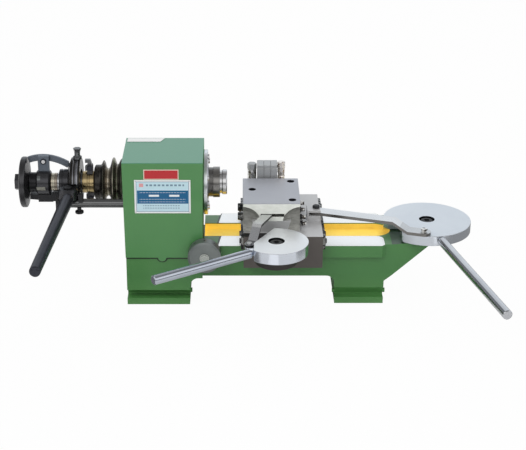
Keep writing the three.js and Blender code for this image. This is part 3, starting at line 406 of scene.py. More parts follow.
def carved(shape, cutters, operation="DIFFERENCE"):
    work = holderOf(shape)
    tools = [holderOf(c) for c in cutters]
    for tool in tools:
        step = work.modifiers.new("cut", "BOOLEAN")
        step.operation = operation
        step.solver = "EXACT"
        step.object = tool
    result = evaluated(work)
    made = bmesh.new()
    made.from_mesh(result)
    for used in (work, *tools):
        mesh = used.data
        bpy.data.objects.remove(used)
        bpy.data.meshes.remove(mesh)
    bpy.data.meshes.remove(result)
    return made


def show(name, shape, node, finish, place=None, smooth=38):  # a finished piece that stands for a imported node
    if place is not None:
        moved(shape, place)
    for edge in shape.edges:
        edge.smooth = edge.is_manifold and edge.calc_face_angle(0) < math.radians(smooth)
    for face in shape.faces:
        face.smooth = True
    moved(shape, Matrix.Scale(mm, 4))
    mesh = bpy.data.meshes.new(name)
    shape.to_mesh(mesh)
    shape.free()
    piece = linked(name, mesh)
    weighted = piece.modifiers.new("normals", "WEIGHTED_NORMAL")
    weighted.keep_sharp = True
    mesh.materials.append(finishes[finish])
    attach(piece, bodyOfNode[node])
    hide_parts(node)


def showNode(name, node, edge, finish):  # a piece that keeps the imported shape, its edges eased
    show(name, fromNode(node, edge), node, finish)


def ends(node, start, end, axis=0):  # a profile: start counts from the node's low end, end from its high one
    low, high = span(node)
    return [(low[axis] + a, r) for a, r in start] + [(high[axis] + a, r) for a, r in end]


def showTurned(name, node, finish, start, end, bore=0, edge=0.5, sides=96, axis=0, place=spindleLine):
    show(name, turned(ends(node, start, end, axis), bore, edge, sides), node, finish, place)


def ridges(first, pitch, count, tops, valleys, wide):  # points of a row of ridges round a knob
    starts = [first + k * pitch for k in range(count)]
    return [point for at in starts for point in ((at, tops), (at + wide, valleys))]


def paintNode(node, finish):
    data = frame["nodes"][node].data
    data.materials.clear()
    data.materials.append(finishes[finish])


# Finishes
acrossX = (30, 1, 1)
seam = Sizes(line=(-4.2, 3), loop=3.4, wayTip=(106.8, 117), tipSlope=0.1277, tipBend=14.2, tipZ=119.9,
             shadeX=447, shadeZ=112)


def enamel(name, colour, shade, peel=0.25):  # gloss enamel with orange peel and slight shade changes
    f = Finish(name, Coat_Weight=0.35, Coat_Roughness=0.12, Specular_IOR_Level=0.4)
    colour = f.mix(f.ramp(f.noise(7, 3), (0.3, 0), (0.7, 1)), colour, shade)
    f.surface(colour, 0.3 + 0.12 * f.noise(60, 3), f.noise(420, 2) + 2 * f.noise(45, 2), peel, 0.0002)
    return f


def coverPaint():  # the enamel of the cover: bluer on top as a painted sky reflection, dull on the flank above the ways
    f = enamel("greenSheet", (0.085, 0.262, 0.084), (0.075, 0.245, 0.08))
    top = f.along("Z") > (span("headstock_cover")[1].z - 1.2) * mm
    flank = f.facing("X") > 0.8
    # painted reflection: the top tinted bluer as if mirroring the sky
    f.set("Base Color", f.mix(top, f.colour, (0.085, 0.27, 0.17)))
    f.set("Roughness", 0.34 + 0.5 * flank)
    f.set("Coat Weight", 0.35 - 0.35 * flank)


def yellowPaint():  # stained; painted shade along the rear edge under the carriage arm and round the end under the big disc; a painted glow over it all
    # the emission is a painted glow, not a lamp
    f = Finish("yellowPaint", Specular_IOR_Level=0.35, Emission_Color=(1, 0.66, 0.1), Emission_Strength=0.36)
    stain = f.ramp(f.noise(38, 5, f.stretched((0.35, 1, 1)), 0.7), (0.42, 0), (0.75, 1))
    colour = f.mix(stain * 0.35, f.mix(f.noise(9), (1.0, 0.79, 0.17), (0.97, 0.71, 0.12)), (0.45, 0.25, 0.03))
    x = f.along("X")
    # painted shade along the rear edge, under the carriage arm
    edge = f.ramp(f.along("Y") + 0.012 * f.noise(60, 4), (0.03, 0), (0.038, 1)) * (x > 0.31)
    # painted shade towards the round end, under the big disc
    tail = f.ramp(x + 0.01 * f.noise(50, 4), (0.432, 0), (0.448, 1))
    colour = f.mix(tail * 0.75, f.mix(edge * 0.45, colour, (0.2, 0.11, 0.02)), (0.2, 0.12, 0.025))
    f.surface(colour, 0.38 + 0.2 * stain, f.noise(160, 3), 0.3, 0.0002)


def metal(name, colour, other, rough, stretch, metallic=1.0, lines=0.1, spread=0.12, **more):
    f = Finish(name, Metallic=metallic, **more)
    marks = f.marks(stretch)
    cloud = f.ramp(f.noise(16, 4, roughness=0.6), (0.3, 0), (0.72, 1))
    f.surface(f.mix(cloud, colour, other), rough - spread / 2 + spread * marks, marks, lines)


def ringMarked(name, crank, top, other, rim):  # satin top with fine turned rings, polished rim, painted shade in the recess
    f = Finish(name)
    centre = (crank.x * mm, crank.y * mm, 0)
    flat = f.vector("MULTIPLY", (f.vector("SUBTRACT", (f.place(), centre)), (1, 1, 0)))
    radius = f.vector("LENGTH", (flat,), "Value")
    rings = f.noise(900, 2, f.node("CombineXYZ", {}, {"X": radius, "Z": f.along("Z") * 0.5}))
    cloud = f.ramp(f.noise(11, 4, roughness=0.6), (0.32, 0), (0.7, 1))
    upward = f.facing("Z") > 0.75
    colour = f.mix(upward, rim, f.mix(cloud, top, other))
    # painted shade: near black inside the screw recess
    colour = f.mix(radius < crankSizes.darkRecess * mm, colour, (0.03, 0.034, 0.038))
    f.set("Metallic", 1 - 0.3 * upward)
    f.surface(colour, 0.13 + 0.25 * upward + 0.08 * rings, rings, 0.1, 0.00006)


def flatBar(name, top, flank, low, level):  # a painted highlight on the top face, sides painted dark as shade, and the top painted greyer below a height
    f = Finish(name, Metallic=1)
    marks = f.marks((4, 4, 3), 240)
    # painted light: pale top above the level, greyer below it, dark flanks as shade
    face = f.mix(f.noise(30, 4) * 0.5, f.mix(f.along("Z") > level * mm, low, top), (0.5, 0.5, 0.5))
    f.surface(f.mix(f.facing("Z") > 0.6, flank, face), 0.22 + 0.14 * marks, marks, 0.12)


def banded(name, node, stops, smear, rough=0.2):  # a dark turned piece with bands painted pale along X, on pulley, ring and handwheel as painted highlights
    f = Finish(name, Metallic=0.9)
    marks = f.marks(acrossX)
    low, high = span(node)
    across = (f.along("X") * 1000 - low.x) * (1 / (high.x - low.x))
    f.surface(f.mix(marks * 0.5, f.ramp(across, *stops), smear), rough + 0.14 * marks, marks, 0.2)


def spotted(name, clean, stained, share):  # worn plating: clean metal with dark stained spots
    f = Finish(name, Metallic=0.9)
    spots = f.ramp(f.noise(130, 3, f.stretched((1, 1, 0.6)), 0.6), (share - 0.03, 0), (share + 0.03, 1))
    f.surface(f.mix(spots, clean, stained), 0.2 + 0.3 * spots, spots, 0.3, 0.0002)


def saddleFinish():  # ground on top; a pale ledge and a ledge painted near black as shadow; aprons painted darker as shade
    f = Finish("saddleIron", Metallic=0.5)
    marks = f.marks((2, 18, 18), 240)
    x, y, z = f.axes()
    top = f.mix(f.noise(14, 4), (0.58, 0.58, 0.585), (0.68, 0.68, 0.68))
    # painted shadow: the ledge near black left of darkEnd
    ledge = f.mix(x < saddle.darkEnd * mm, (0.36, 0.365, 0.33), (0.02, 0.02, 0.02))
    top = f.mix((y < saddle.ledgeY * mm) * (x < saddle.ledgeEnd * mm), top, ledge)
    # painted shade: the aprons darker than the top
    apron = f.mix(f.noise(20, 4), (0.1, 0.088, 0.082), (0.135, 0.122, 0.113))
    f.surface(f.mix(z > saddle.top * mm, apron, top), 0.38 + 0.14 * marks, marks, 0.2)


def slideFinish():  # blue-grey ground top; a paler mottled nose with a near-white front face; painted shade inside the tapped holes
    f = Finish("slideGround")
    marks = f.marks((2, 16, 16))
    x, y, z = f.axes()
    top = f.mix(f.noise(16, 4), (0.425, 0.44, 0.485), (0.5, 0.515, 0.56))
    scrape = f.ramp(f.noise(70, 4, f.stretched((1, 1, 2.5)), 0.6), (0.35, 0), (0.7, 1))
    scoop = f.mix(scrape, (0.25, 0.25, 0.23), (0.42, 0.42, 0.39))
    face = f.mix(scrape, (0.8, 0.83, 0.77), (0.92, 0.94, 0.89))
    front = y < (slide.front + 0.2) * mm
    nose = f.between(y, -0.2, slide.noseEnd * mm) * (z < (slide.top - 1) * mm)
    colour = f.mix(nose, top, f.mix(front, scoop, face))
    # painted shade: near black inside the tapped holes
    for place in tapPlaces():
        across, deep = x - place[0] * mm, y - place[1] * mm
        hole = across * across + deep * deep < (tap.rim * mm) ** 2
        low, high = tap.dark
        hole = hole * f.between(z, (slide.top + low) * mm, (slide.top + high) * mm)
        colour = f.mix(hole, colour, (0.015, 0.016, 0.02))
    f.set("Metallic", 0.5 - 0.45 * (nose * front))
    f.surface(colour, 0.36 + 0.14 * marks, marks, 0.15)


def blockFinish():  # black oxide with a small pale patch as a painted highlight, and a ribbed grey pad on the operator's side
    f = Finish("blockOxide", Metallic=0.8)
    marks = f.marks(acrossX)
    x, y, z = (way * 1000 for way in f.axes())
    pad, highlightPatch = (f.inside(x, z - axisZ, *guide[key]) * (y < guide.side) for key in ("pad", "highlightPatch"))
    ribs = (z * guide.ribs).fraction() > 0.4
    colour = f.mix(f.noise(16, 4), (0.06, 0.06, 0.066), (0.09, 0.09, 0.097))
    colour = f.mix(pad * (0.6 + 0.4 * ribs), colour, (0.3, 0.3, 0.26))
    # painted highlight: a small pale patch on the block's front
    colour = f.mix(highlightPatch * 0.8, colour, (0.22, 0.24, 0.24))
    f.surface(colour, 0.22 + 0.12 * marks, marks, 0.2)


def seamFinish():  # casting green; painted shadow below the cover's edge, painted light near the floor, painted shade left of the ways and at the tail
    f = enamel("greenSeam", (0.073, 0.235, 0.064), (0.06, 0.205, 0.057), 0.5)
    x, y, z = (way * 1000 for way in f.axes())
    radius = headstock.tabRadius
    across, below = x - headstock.tabX, z - (span("headstock_cover")[0].z + radius)
    loop = (across * across + below * below < (radius + seam.loop) ** 2) * (below < 0)
    line = f.between(below + 0.6 * f.noise(90, 3), *seam.line) * (x < headstock.seamEnd)
    # painted light: paler towards the floor, on the feet
    pale = f.ramp(f.along("Z"), (0.004, 1), (0.06, 0))
    clean = f.mix(pale * 0.6, f.colour, (0.11, 0.3, 0.085))
    tip = x - seam.tipSlope * y - seam.tipBend * (y < 0)  # the slanted left ends of the ways
    wayTip = f.between(tip, *seam.wayTip) * (z > seam.tipZ)
    # painted shade: a dark line at the ways' slanted left ends
    clean = f.mix(wayTip * 0.9, clean, (0.01, 0.022, 0.012))
    # painted shade on the top faces at the tail, under the big disc
    shaded = (x > seam.shadeX) * (z > seam.shadeZ) * (f.facing("Z") > 0.5)
    clean = f.mix(shaded * 0.8, clean, (0.02, 0.045, 0.03))
    # painted shadow below the cover's edge and round its tab
    coverShadow = (line + loop) > 0.5
    f.set("Base Color", f.mix(coverShadow * 0.92, clean, (0.008, 0.018, 0.008)))


metals = (
    ("blackOxide", (0.06, 0.06, 0.066), (0.09, 0.09, 0.097), 0.26, acrossX, 0.85, 0.25),
    ("blackBar", (0.16, 0.162, 0.165), (0.24, 0.243, 0.245), 0.2, (1, 25, 25), 0.95, 0.15),
    ("blackFlat", (0.03, 0.031, 0.034), (0.045, 0.045, 0.048), 0.42, (3, 3, 3), 0.6, 0.4),
    ("bracketIron", (0.03, 0.026, 0.024), (0.05, 0.042, 0.038), 0.42, (3, 3, 3), 0.4, 0.4),
    ("paleGrey", (0.13, 0.135, 0.14), (0.24, 0.245, 0.25), 0.3, (3, 3, 3), 0.85, 0.3),
    ("slate", (0.035, 0.037, 0.05), (0.055, 0.057, 0.07), 0.34, (6, 1, 1), 0.7, 0.2),
    ("bright", (0.7, 0.7, 0.71), (0.8, 0.8, 0.81), 0.24, acrossX),
    ("brightPlain", (0.36, 0.39, 0.36), (0.58, 0.6, 0.57), 0.26, (2, 2, 2), 1, 0.4),
    ("capSteel", (0.8, 0.83, 0.86), (0.88, 0.9, 0.93), 0.26, (30, 4, 4), 1, 0.2),
    ("spindleSteel", (0.24, 0.232, 0.22), (0.36, 0.35, 0.335), 0.27, acrossX, 1, 0.3),
    ("blued", (0.135, 0.157, 0.19), (0.175, 0.197, 0.23), 0.36, (1, 6, 6), 0.7),
    ("brassTurned", (0.62, 0.48, 0.26), (0.48, 0.37, 0.19), 0.26, acrossX),
    ("wheelSteel", (0.16, 0.18, 0.177), (0.225, 0.245, 0.24), 0.36, (6, 1, 6), 0.6, 0.3),
    ("postSteel", (0.42, 0.43, 0.435), (0.52, 0.53, 0.535), 0.42, (8, 8, 1.5), 0.6, 0.2),
    ("handlePlain", (0.56, 0.57, 0.6), (0.68, 0.69, 0.71), 0.14, (5, 5, 5), 1, 0.08, 0.08),
    ("handleSteel", (0.5, 0.54, 0.62), (0.62, 0.66, 0.74), 0.14, (5, 5, 5), 1, 0.08, 0.08),
)
for row in metals:
    metal(*row)
coverPaint()
yellowPaint()
# the ways' faint white emission is a painted glow
metal("wayGround", (0.93, 0.93, 0.92), (0.97, 0.97, 0.96), 0.3, (0.6, 30, 30), 0.85, 0.15,
      Emission_Color=(1, 1, 1), Emission_Strength=0.1)
spotted("boltBrass", (1, 0.94, 0.88), (0.3, 0.17, 0.1), 0.6)
spotted("boltSpotted", (0.9, 0.89, 0.86), (0.1, 0.085, 0.07), 0.5)
spotted("wornBlack", (0.27, 0.27, 0.26), (0.04, 0.04, 0.042), 0.49)
soot, crestGlint = (0.05, 0.047, 0.043), (0.62, 0.56, 0.46)
grooveGlint, polished = (0.5, 0.51, 0.56), (0.78, 0.74, 0.62)
# painted highlights: pale bands along the pulley's crests and valley
banded("pulleySteel", "step_pulley", (
    (0, (0.3, 0.28, 0.25)), (0.03, soot), (0.32, soot), (0.35, (0.34, 0.3, 0.25)), (0.38, soot), (0.42, crestGlint),
    (0.53, crestGlint), (0.58, soot), (0.65, soot), (0.69, crestGlint), (0.79, crestGlint), (0.84, soot), (0.95, soot),
    (0.98, (0.2, 0.18, 0.15))), (0.06, 0.055, 0.05))
# painted highlights at the ring's groove edges
banded("ringOxide", "shift_ring", (
    (0.1, soot), (0.18, (0.15, 0.15, 0.17)), (0.27, soot), (0.4, soot), (0.46, grooveGlint), (0.5, soot),
    (0.56, soot), (0.74, grooveGlint), (0.8, grooveGlint), (0.86, soot), (1, soot)), soot)
banded("sleeveSteel", "brass_sleeve", (
    (0, (0.2, 0.16, 0.11)), (0.12, (0.3, 0.25, 0.18)), (0.2, polished), (0.52, polished),
    (0.6, (0.1, 0.08, 0.06)), (0.68, (0.42, 0.36, 0.3)), (0.84, (0.4, 0.35, 0.3)), (1, (0.14, 0.12, 0.11))),
    (0.4, 0.34, 0.26), 0.22)
# painted highlight: the handwheel's rim paler than the rest
banded("wheelOxide", "draw_handwheel", (
    (0, (0.09, 0.09, 0.095)), (0.26, (0.09, 0.09, 0.095)), (0.31, (0.025, 0.025, 0.028)),
    (1, (0.03, 0.03, 0.034))), (0.05, 0.05, 0.053), 0.24)
print("finishes made")

# Headstock: cover, bearing cap, plates without words
headstock = Sizes(edge=2.2, capRadius=62.5, capStart=87.3, capEnd=94.8, capBore=28.8, screwRing=52,
                  lip=(36, 35, 31), lipHigh=1.2, screwRadius=5, screwHigh=3, screws=6, socket=2.6,
                  socketDeep=2.2, tabRadius=8, tabX=8, seamEnd=86)
rivet = Sizes(radius=1.3, high=0.5, inset=2.4)
seamFinish()


def makeHeadstock():
    h = headstock
    paintNode("headstock_casting", "greenSeam")
    paintNode("front_bearing", "bright")
    paintNode("rear_bearing", "bright")
    showNode("coverShell", "headstock_cover", h.edge, "greenSheet")
    start, end, lipEnd = h.capStart, h.capEnd, h.capEnd + h.lipHigh
    foot, shoulder, lip = h.lip
    cap = spin(rounded([(start, h.capBore), (start, h.capRadius), (end, h.capRadius), (end, foot),
                        (lipEnd, shoulder), (lipEnd, lip), (lipEnd, h.capBore)], 0.9), 128)
    show("bearingCap", cap, "front_bearing_cap", "capSteel", spindleLine)
    for i, angle in enumerate(around(h.screws, 0.5)):
        y, z = h.screwRing * math.cos(angle), axisZ + h.screwRing * math.sin(angle)
        top = end + h.screwHigh
        screw = turned([(end - 1, h.screwRadius), (top, h.screwRadius)], edge=0.6, sides=48)
        screw = carved(screw, [hexPrism(h.socket, top - h.socketDeep, top + 1, 0)])
        show(f"capScrew{i + 1}", screw, "front_bearing_cap", "bright", shift((0, y, z)))


def platePrint(name):
    return Finish(name, Roughness=0.35, Specular_IOR_Level=0.45, Coat_Weight=0.2)


def printedRed(low, high):  # red ground with a cream rule round it
    f = platePrint("redPrint")
    x, z, rim = f.along("X") * 1000, f.along("Z") * 1000, 1.6
    inside = f.inside(x, z, low.x + rim, low.z + rim, high.x - rim, high.z - rim)
    ground = f.mix(f.noise(30), (0.56, 0.02, 0.028), (0.48, 0.015, 0.022))
    f.set("Base Color", f.mix(inside, (0.8, 0.66, 0.55), ground))
    return f.name


# Dashed rows of the data plate: levels below its top, margins, half heights, dashes, strength and ink
printedRows = (
    ((25.2, 38.6, 43.8), (9, 9), (0.5, 0.4), (0.19, 0.28), 0.75, (0.8, 0.86, 0.92)),
    ((10.5,), (22, 12), (1.8, 1.8), (0.13, 0.35), 0.75, (0.05, 0.13, 0.22)),
    ((51.5, 56.5), (16, 20), (1.1, 1.1), (0.21, 0.4), 0.7, (0.12, 0.2, 0.3)),
)


def printedBlue(low, high):  # white margin, dark blue rule, pale ground, a blue band with two blank boxes
    f = platePrint("bluePrint")
    x, z, colour = f.along("X") * 1000, f.along("Z") * 1000, (0.86, 0.88, 0.87)
    pale = f.mix(f.noise(40), (0.53, 0.74, 0.82), (0.59, 0.79, 0.86))
    white = (0.85, 0.88, 0.9)
    for left, bottom, right, top, ink in (
        (low.x + 3.2, low.z + 3.2, high.x - 3.2, high.z - 3.2, (0.05, 0.13, 0.28)),
        (low.x + 4, low.z + 4, high.x - 4, high.z - 4, pale),
        (low.x + 5, low.z + 19.5, high.x - 4.5, high.z - 21, (0.001, 0.115, 0.27)),
        (low.x + 27, high.z - 33.5, low.x + 46, high.z - 29.5, white),
        (low.x + 65, high.z - 33.5, low.x + 84, high.z - 29.5, white),
        (low.x + 9, high.z - 14, low.x + 17, high.z - 7, (0.75, 0.35, 0.36)),
    ):
        colour = f.mix(f.inside(x, z, left, bottom, right, top), colour, ink)
    for levels, (left, right), (under, over), (pitch, gap), share, ink in printedRows:
        dashes = (x * pitch).fraction() > gap
        for level in levels:
            middle = high.z - level
            row = f.inside(x, z, low.x + left, middle - under, high.x - right, middle + over)
            colour = f.mix(row * dashes * share, colour, ink)
    f.set("Base Color", colour)
    return f.name


def makePlates():
    for kind, printed in (("red", printedRed), ("data", printedBlue)):
        node = f"{kind}_plate"
        low, high = span(node)
        show(f"{kind}Plate", block(low, high, 0.12), node, printed(low, high))
    inset = rivet.inset
    corners = [(x, z) for x in (low.x + inset, high.x - inset) for z in (low.z + inset, high.z - inset)]
    for i, (x, z) in enumerate(corners):
        pin = turned([(0, rivet.radius), (rivet.high, rivet.radius * 0.8)], edge=0.2, sides=24)
        show(f"plateRivet{i + 1}", aimed(pin, (x, low.y + 0.1, z), (0, -1, 0)), "data_plate", "bright")
    label = platePrint("labelPrint")
    label.set("Base Color", label.mix(label.noise(50), (0.86, 0.86, 0.86), (0.8, 0.8, 0.8)))
    showNode("topLabel", "top_label", 0.1, label.name)


# Bed: casting, ground ways, painted channel
bed = Sizes(edge=1.6, wayTop=121, wayStart=119.6, wayEnd=433.4, wayInner=32.2, wayOuter=79.2, slant=(-5, 1),
            corner=6, nose=14, skin=0.15, channelFloor=109, channelStart=88, channelHalf=31.4,
            channelEnd=418.25, wallTop=119.6, wall=0.4)


def channelPlan(inset):
    start, half = bed.channelStart + inset, bed.channelHalf - inset
    return [(start, -half), *arc(bed.channelEnd, 0, half, -math.pi / 2, math.pi / 2), (start, half)]


def makeBed():
    b = bed
    showNode("bedBody", "bed_casting", b.edge, "greenSeam")
    for side, name in ((-1, "wayFront"), (1, "wayRear")):
        nose = arc(b.wayEnd - b.nose, b.wayInner + b.nose, b.nose, 0, -math.pi / 2, 10)
        plan = [
            (b.wayStart + b.slant[side < 0], side * b.wayInner),
            (b.wayStart + b.slant[side > 0], side * b.wayOuter),
            (b.wayEnd - b.corner, side * b.wayOuter),
            (b.wayEnd, side * (b.wayOuter - b.corner)),
            *[(x, side * y) for x, y in nose],
        ]
        shape = plate(rounded(plan, 2), b.wayTop - 1, b.wayTop + b.skin, 0.1)
        show(name, shape, "bed_casting", "wayGround")
    floor = b.channelFloor
    shape = plate(channelPlan(0), floor - 0.5, floor + b.skin, 0.05)
    show("channelFloor", shape, "bed_casting", "yellowPaint")
    wall = plate(channelPlan(0), floor, b.wallTop, 0.1, [channelPlan(b.wall)])
    show("channelWall", wall, "bed_casting", "yellowPaint")


makeBed()
print("bed made")
makeHeadstock()
makePlates()
print("headstock made")

# Spindle, nose and collet
spindle = Sizes(bore=13, threads=5, threadDeep=0.7, noseStart=87, noseEnd=104.4, noseRadius=28.5, plain=8,
                notches=4, notchHalf=3, slits=3, slitHalf=0.6, slitStart=112)
spindleSteps = [(-186, 16.8), (-184.8, 18), (-123.4, 18), (-123.4, 20), (-68.5, 20), (-68.5, 23), (-56, 23),
                (-56, 26), (-28, 26), (-28, 23), (54, 23), (54, 26)]


def makeSpindle():
    s = spindle
    start, radius = s.noseStart, s.noseRadius
    pitch = (s.noseEnd - start - s.plain) / s.threads
    threads = []
    for i in range(s.threads):
        at = start + s.plain + i * pitch
        threads += [(at, radius), (at + pitch * 0.35, radius - s.threadDeep), (at + pitch * 0.7, radius)]
    outer = [*spindleSteps, (start, 26), (start, radius), *threads, (s.noseEnd, radius)]
    show("spindleShaft", turned(outer, s.bore, 0.35), "spindle_shaft", "spindleSteel", spindleLine)
    low, high = span("nose_ring")
    ring = turned([(low.x, 29.5), (high.x, 29.5)], 22.3, 0.8)
    wide = s.notchHalf
    notches = [moved(block((low.x - 1, -wide, 26.5), (high.x + 1, wide, 34), 0), aboutX(angle))
               for angle in around(s.notches, 0.5)]
    show("noseRing", carved(ring, notches), "nose_ring", "spindleSteel", spindleLine)
    low, high = span("collet")
    outer = [(low.x, 12.6), (104.7, 12.6), (104.7, 22), (122, 22), (122, 22.8), (123.2, 24),
             (high.x - 1.4, 24), (high.x, 22.6)]
    wide = s.slitHalf
    slits = [moved(block((s.slitStart, -wide, 4), (high.x + 2, wide, 30), 0), aboutX(angle))
             for angle in around(s.slits, 0.25)]
    show("colletHead", carved(turned(outer, 7.5, 0.5), slits), "collet", "bright", spindleLine)


makeSpindle()

# Step pulley: a plain rim, then two tall ridges with round valleys, as shares of its length and radius
pulley = Sizes(top=47.6, bore=20.3, specks=22, speckRadius=1.1, speckDeep=2, rim=0.7)
pulleyShares = [(0, 0.62), (0.02, 0.67), (0.05, 0.7), (0.2, 0.7), (0.24, 0.72), (0.27, 0.78), (0.3, 0.86),
                (0.32, 0.88), (0.34, 0.87), (0.37, 0.8), (0.4, 0.68), (0.43, 0.59), (0.47, 0.555),
                (0.51, 0.56), (0.55, 0.64), (0.59, 0.8), (0.63, 0.95), (0.66, 0.995), (0.69, 0.995),
                (0.72, 0.94), (0.76, 0.8), (0.79, 0.73), (0.83, 0.72), (0.87, 0.8), (0.91, 0.9),
                (0.95, 0.94), (1, 0.93)]


def makePulley():
    p = pulley
    low, high = span("step_pulley")
    length = high.x - low.x
    shape = turned([(low.x + a * length, r * p.top) for a, r in pulleyShares], p.bore, 0.4, 128)
    holes = []
    for first, share in ((0, 0.09), (0.5, 0.16)):
        for angle in around(p.specks, first):
            way = Vector((0, math.cos(angle), math.sin(angle)))
            start = Vector((low.x + share * length, 0, 0)) + way * (p.rim * p.top - p.speckDeep)
            holes += drilled([start], p.speckRadius, 2 * p.speckDeep, way, 12)
    show("stepPulley", carved(shape, [joined(*holes)]), "step_pulley", "pulleySteel", spindleLine)


makePulley()

# Collet closer
closer = Sizes(bore=18.3, tubeBore=7.5, sleeveBore=12.3, ears=(4.4, 8.4), earRadius=5.5, fingerX=-131.5,
               fingerZ=31, ringX=-155, boltBase=269.3)


def makeCarrier():
    low, high = span("finger_carrier")
    drum = [(low.x, 20), (low.x + 1, 21), (-137, 21), (-136, 20), (-133, 20), (-132, 21), (high.x - 1, 21),
            (high.x, 20)]
    show("carrierDrum", turned(drum, closer.bore, 0.3), "finger_carrier", "brassTurned", spindleLine)
    near, reach = closer.ears
    x, z, radius = closer.fingerX, closer.fingerZ, closer.earRadius
    outline = [(x - radius, 18.6), (x + radius, 18.6), (x + radius, z),
               *arc(x, z + 0.5, radius, 0, math.pi, 16), (x - radius, z)]
    for way, level in ((1, "Top"), (-1, "Low")):
        for side, where in ((1, "Back"), (-1, "Front")):
            y = sorted((side * near, side * reach))
            ear = standing(plate([(a, way * b) for a, b in outline], -y[1], -y[0], 0.4))
            show(f"carrierEar{level}{where}", ear, "finger_carrier", "blackOxide", spindleLine)
        pin = joined(turned([(-reach - 1, 3.1), (reach + 2.5, 3.1)], edge=0.5, sides=32),
                     hexPrism(5.4, -reach - 2.5, -reach - 0.1, 0.4))
        show(f"fingerPin{level}", aimed(pin, (x, 0, axisZ + way * z), yWay), "finger_carrier", "slate")
    # painted highlight: the upper finger paler grey, a lit copy of the black lower finger
    showNode("fingerTop", "closer_finger_top", 0.8, "paleGrey")
    showNode("fingerLow", "closer_finger_bottom", 0.8, "blackOxide")


def makeDraw():
    bore = closer.sleeveBore
    showTurned("drawTube", "draw_tube", "bright", [(0, 12)], [(0, 12)], closer.tubeBore, 0.4)
    rim = [(0, 12.6), (1.4, 22), (1.6, 40), (1.6, 45.4), (2.6, 47.8), (4.6, 49), (10.5, 49), (12.5, 48.2),
           (13.5, 46), (16.6, 24), (17.4, 21), (18.8, 19.4), (20.4, 18.8)]
    showTurned("handwheel", "draw_handwheel", "wheelOxide", rim, [(0, 18.8)], bore, 1.2, 128)
    showNode("endNut", "end_nut", 0.8, "blackOxide")
    grooved = [(0, 16.6), (0.8, 17.4), (4, 17.4), (4.6, 16.8), (5.4, 16.8), (6, 17.4)]
    showTurned("brassSleeve", "brass_sleeve", "sleeveSteel", grooved, [(-0.8, 17.4), (0, 16.6)], bore, 0.2)
    showTurned("lockRing", "lock_ring", "bright", [(0, 18.5)], [(0, 18.5)], bore, 0.5)


def makeShift():
    grooved = [(0, 24), (1, 25), (6, 25), (6.6, 24.2), (8, 24.2), (8.6, 25)]
    showTurned("shiftCollar", "shift_collar", "blackOxide", grooved, [(-5, 25), (0, 22.5)], closer.bore, 0.4)
    low, high = span("shift_ring")
    pitch = (high.x - low.x + 2) / 3
    outer = [(low.x, 36.8), (low.x + 1.2, 38), (low.x + 3.8, 45.6), (low.x + 5, 47.6)]
    groove = ((-0.8, 48), (0, 47), (0.2, 46.1), (1.8, 46.1), (2, 47), (2.8, 48))
    for i in (1, 2):
        outer += [(low.x + i * pitch - 2 + a, r) for a, r in groove]
    shape = turned([*outer, (high.x - 1, 48), (high.x, 47)], 25.5, 0.3, 128)
    opening = block((low.x - 3, -53, -53), (high.x + 3, -32, 13), 0)
    slot = block((-164, -36, -12), (-156, -26, -2), 0)
    show("shiftRing", carved(shape, [opening, slot]), "shift_ring", "ringOxide", spindleLine)
    low, high = span("ring_top_bolt")
    base, place = closer.boltBase, upAt(closer.ringX, 0)
    stem = turned([(low.z, 5.5), (base, 5.5), (base, 8.5), (base + 4, 8.5), (base + 5, 7.2), (base + 6, 5.5),
                   (base + 14, 5.5)], edge=0.4, sides=48)
    show("ringBolt", stem, "ring_top_bolt", "paleGrey", place)
    show("ringBoltHead", hexPrism(5.6, base + 13, high.z, 0.5, 8), "ring_top_bolt", "paleGrey", place)


makeCarrier()
makeDraw()
makeShift()

# Closer lever: a round rod from its hub down to the operator's side, on the support bar
lever = Sizes(pivot=(-170, -53), root=(-166, -58, 218.5), end=(-193.5, -367, 200), seat=207.5, pinHead=229.3)
support = Sizes(barY=-53, barZ=198.5, barRadius=8.7, shoulder=-175.7, knobX=-149.6, eyeZ=264.5, eyeHole=4.3)
guide = Sizes(bore=19.1, flat=23, far=30, pad=(-234.5, -9.5, -216.5, -1.5), padFloor=-22.6,
              highlightPatch=(-232.2, 11.5, -226, 18.5), side=-8, ribs=0.62)


def slottedPin(node, top, stem, head, rim, slot):  # a headed pin with a driver slot
    low, high = span(node)
    pin = turned([(low.z, stem), (top, stem), (top, head), (high.z - rim[0], head), (high.z, rim[1])],
                 edge=0.4, sides=48)
    deep, half, reach = slot
    return carved(pin, [block((high.z - deep, -half, -reach), (high.z + 1, half, reach), 0)])


def makeLever():
    top = span("closer_lever")[1].z
    place, seat = upAt(*lever.pivot), lever.seat
    hub = turned([(seat, 17.5), (seat + 1.5, 19), (top - 4, 19), (top, 15.5)], 5.3, 0.8)
    show("leverHub", hub, "closer_lever", "blackOxide", place)
    root = Vector(lever.root)
    run = Vector(lever.end) - root
    end = run.length
    rod = turned([(14, 8), (20, 10.6), (30, 12), (end - 5, 10), (end - 3.5, 9.3), (end - 3, 9.7),
                  (end - 1.6, 8.6), (end, 5.4)], edge=0.8)
    show("leverRod", aimed(rod, root, run), "closer_lever", "slate")
    show("leverTongue", block((-163, -40, 210), (-157, -27, 218), 0.8), "closer_lever", "slate")
    pin = slottedPin("lever_pivot_pin", lever.pinHead, 5, 8, (0.8, 7), (1.2, 0.8, 9))
    show("leverPin", pin, "lever_pivot_pin", "blackFlat", place)


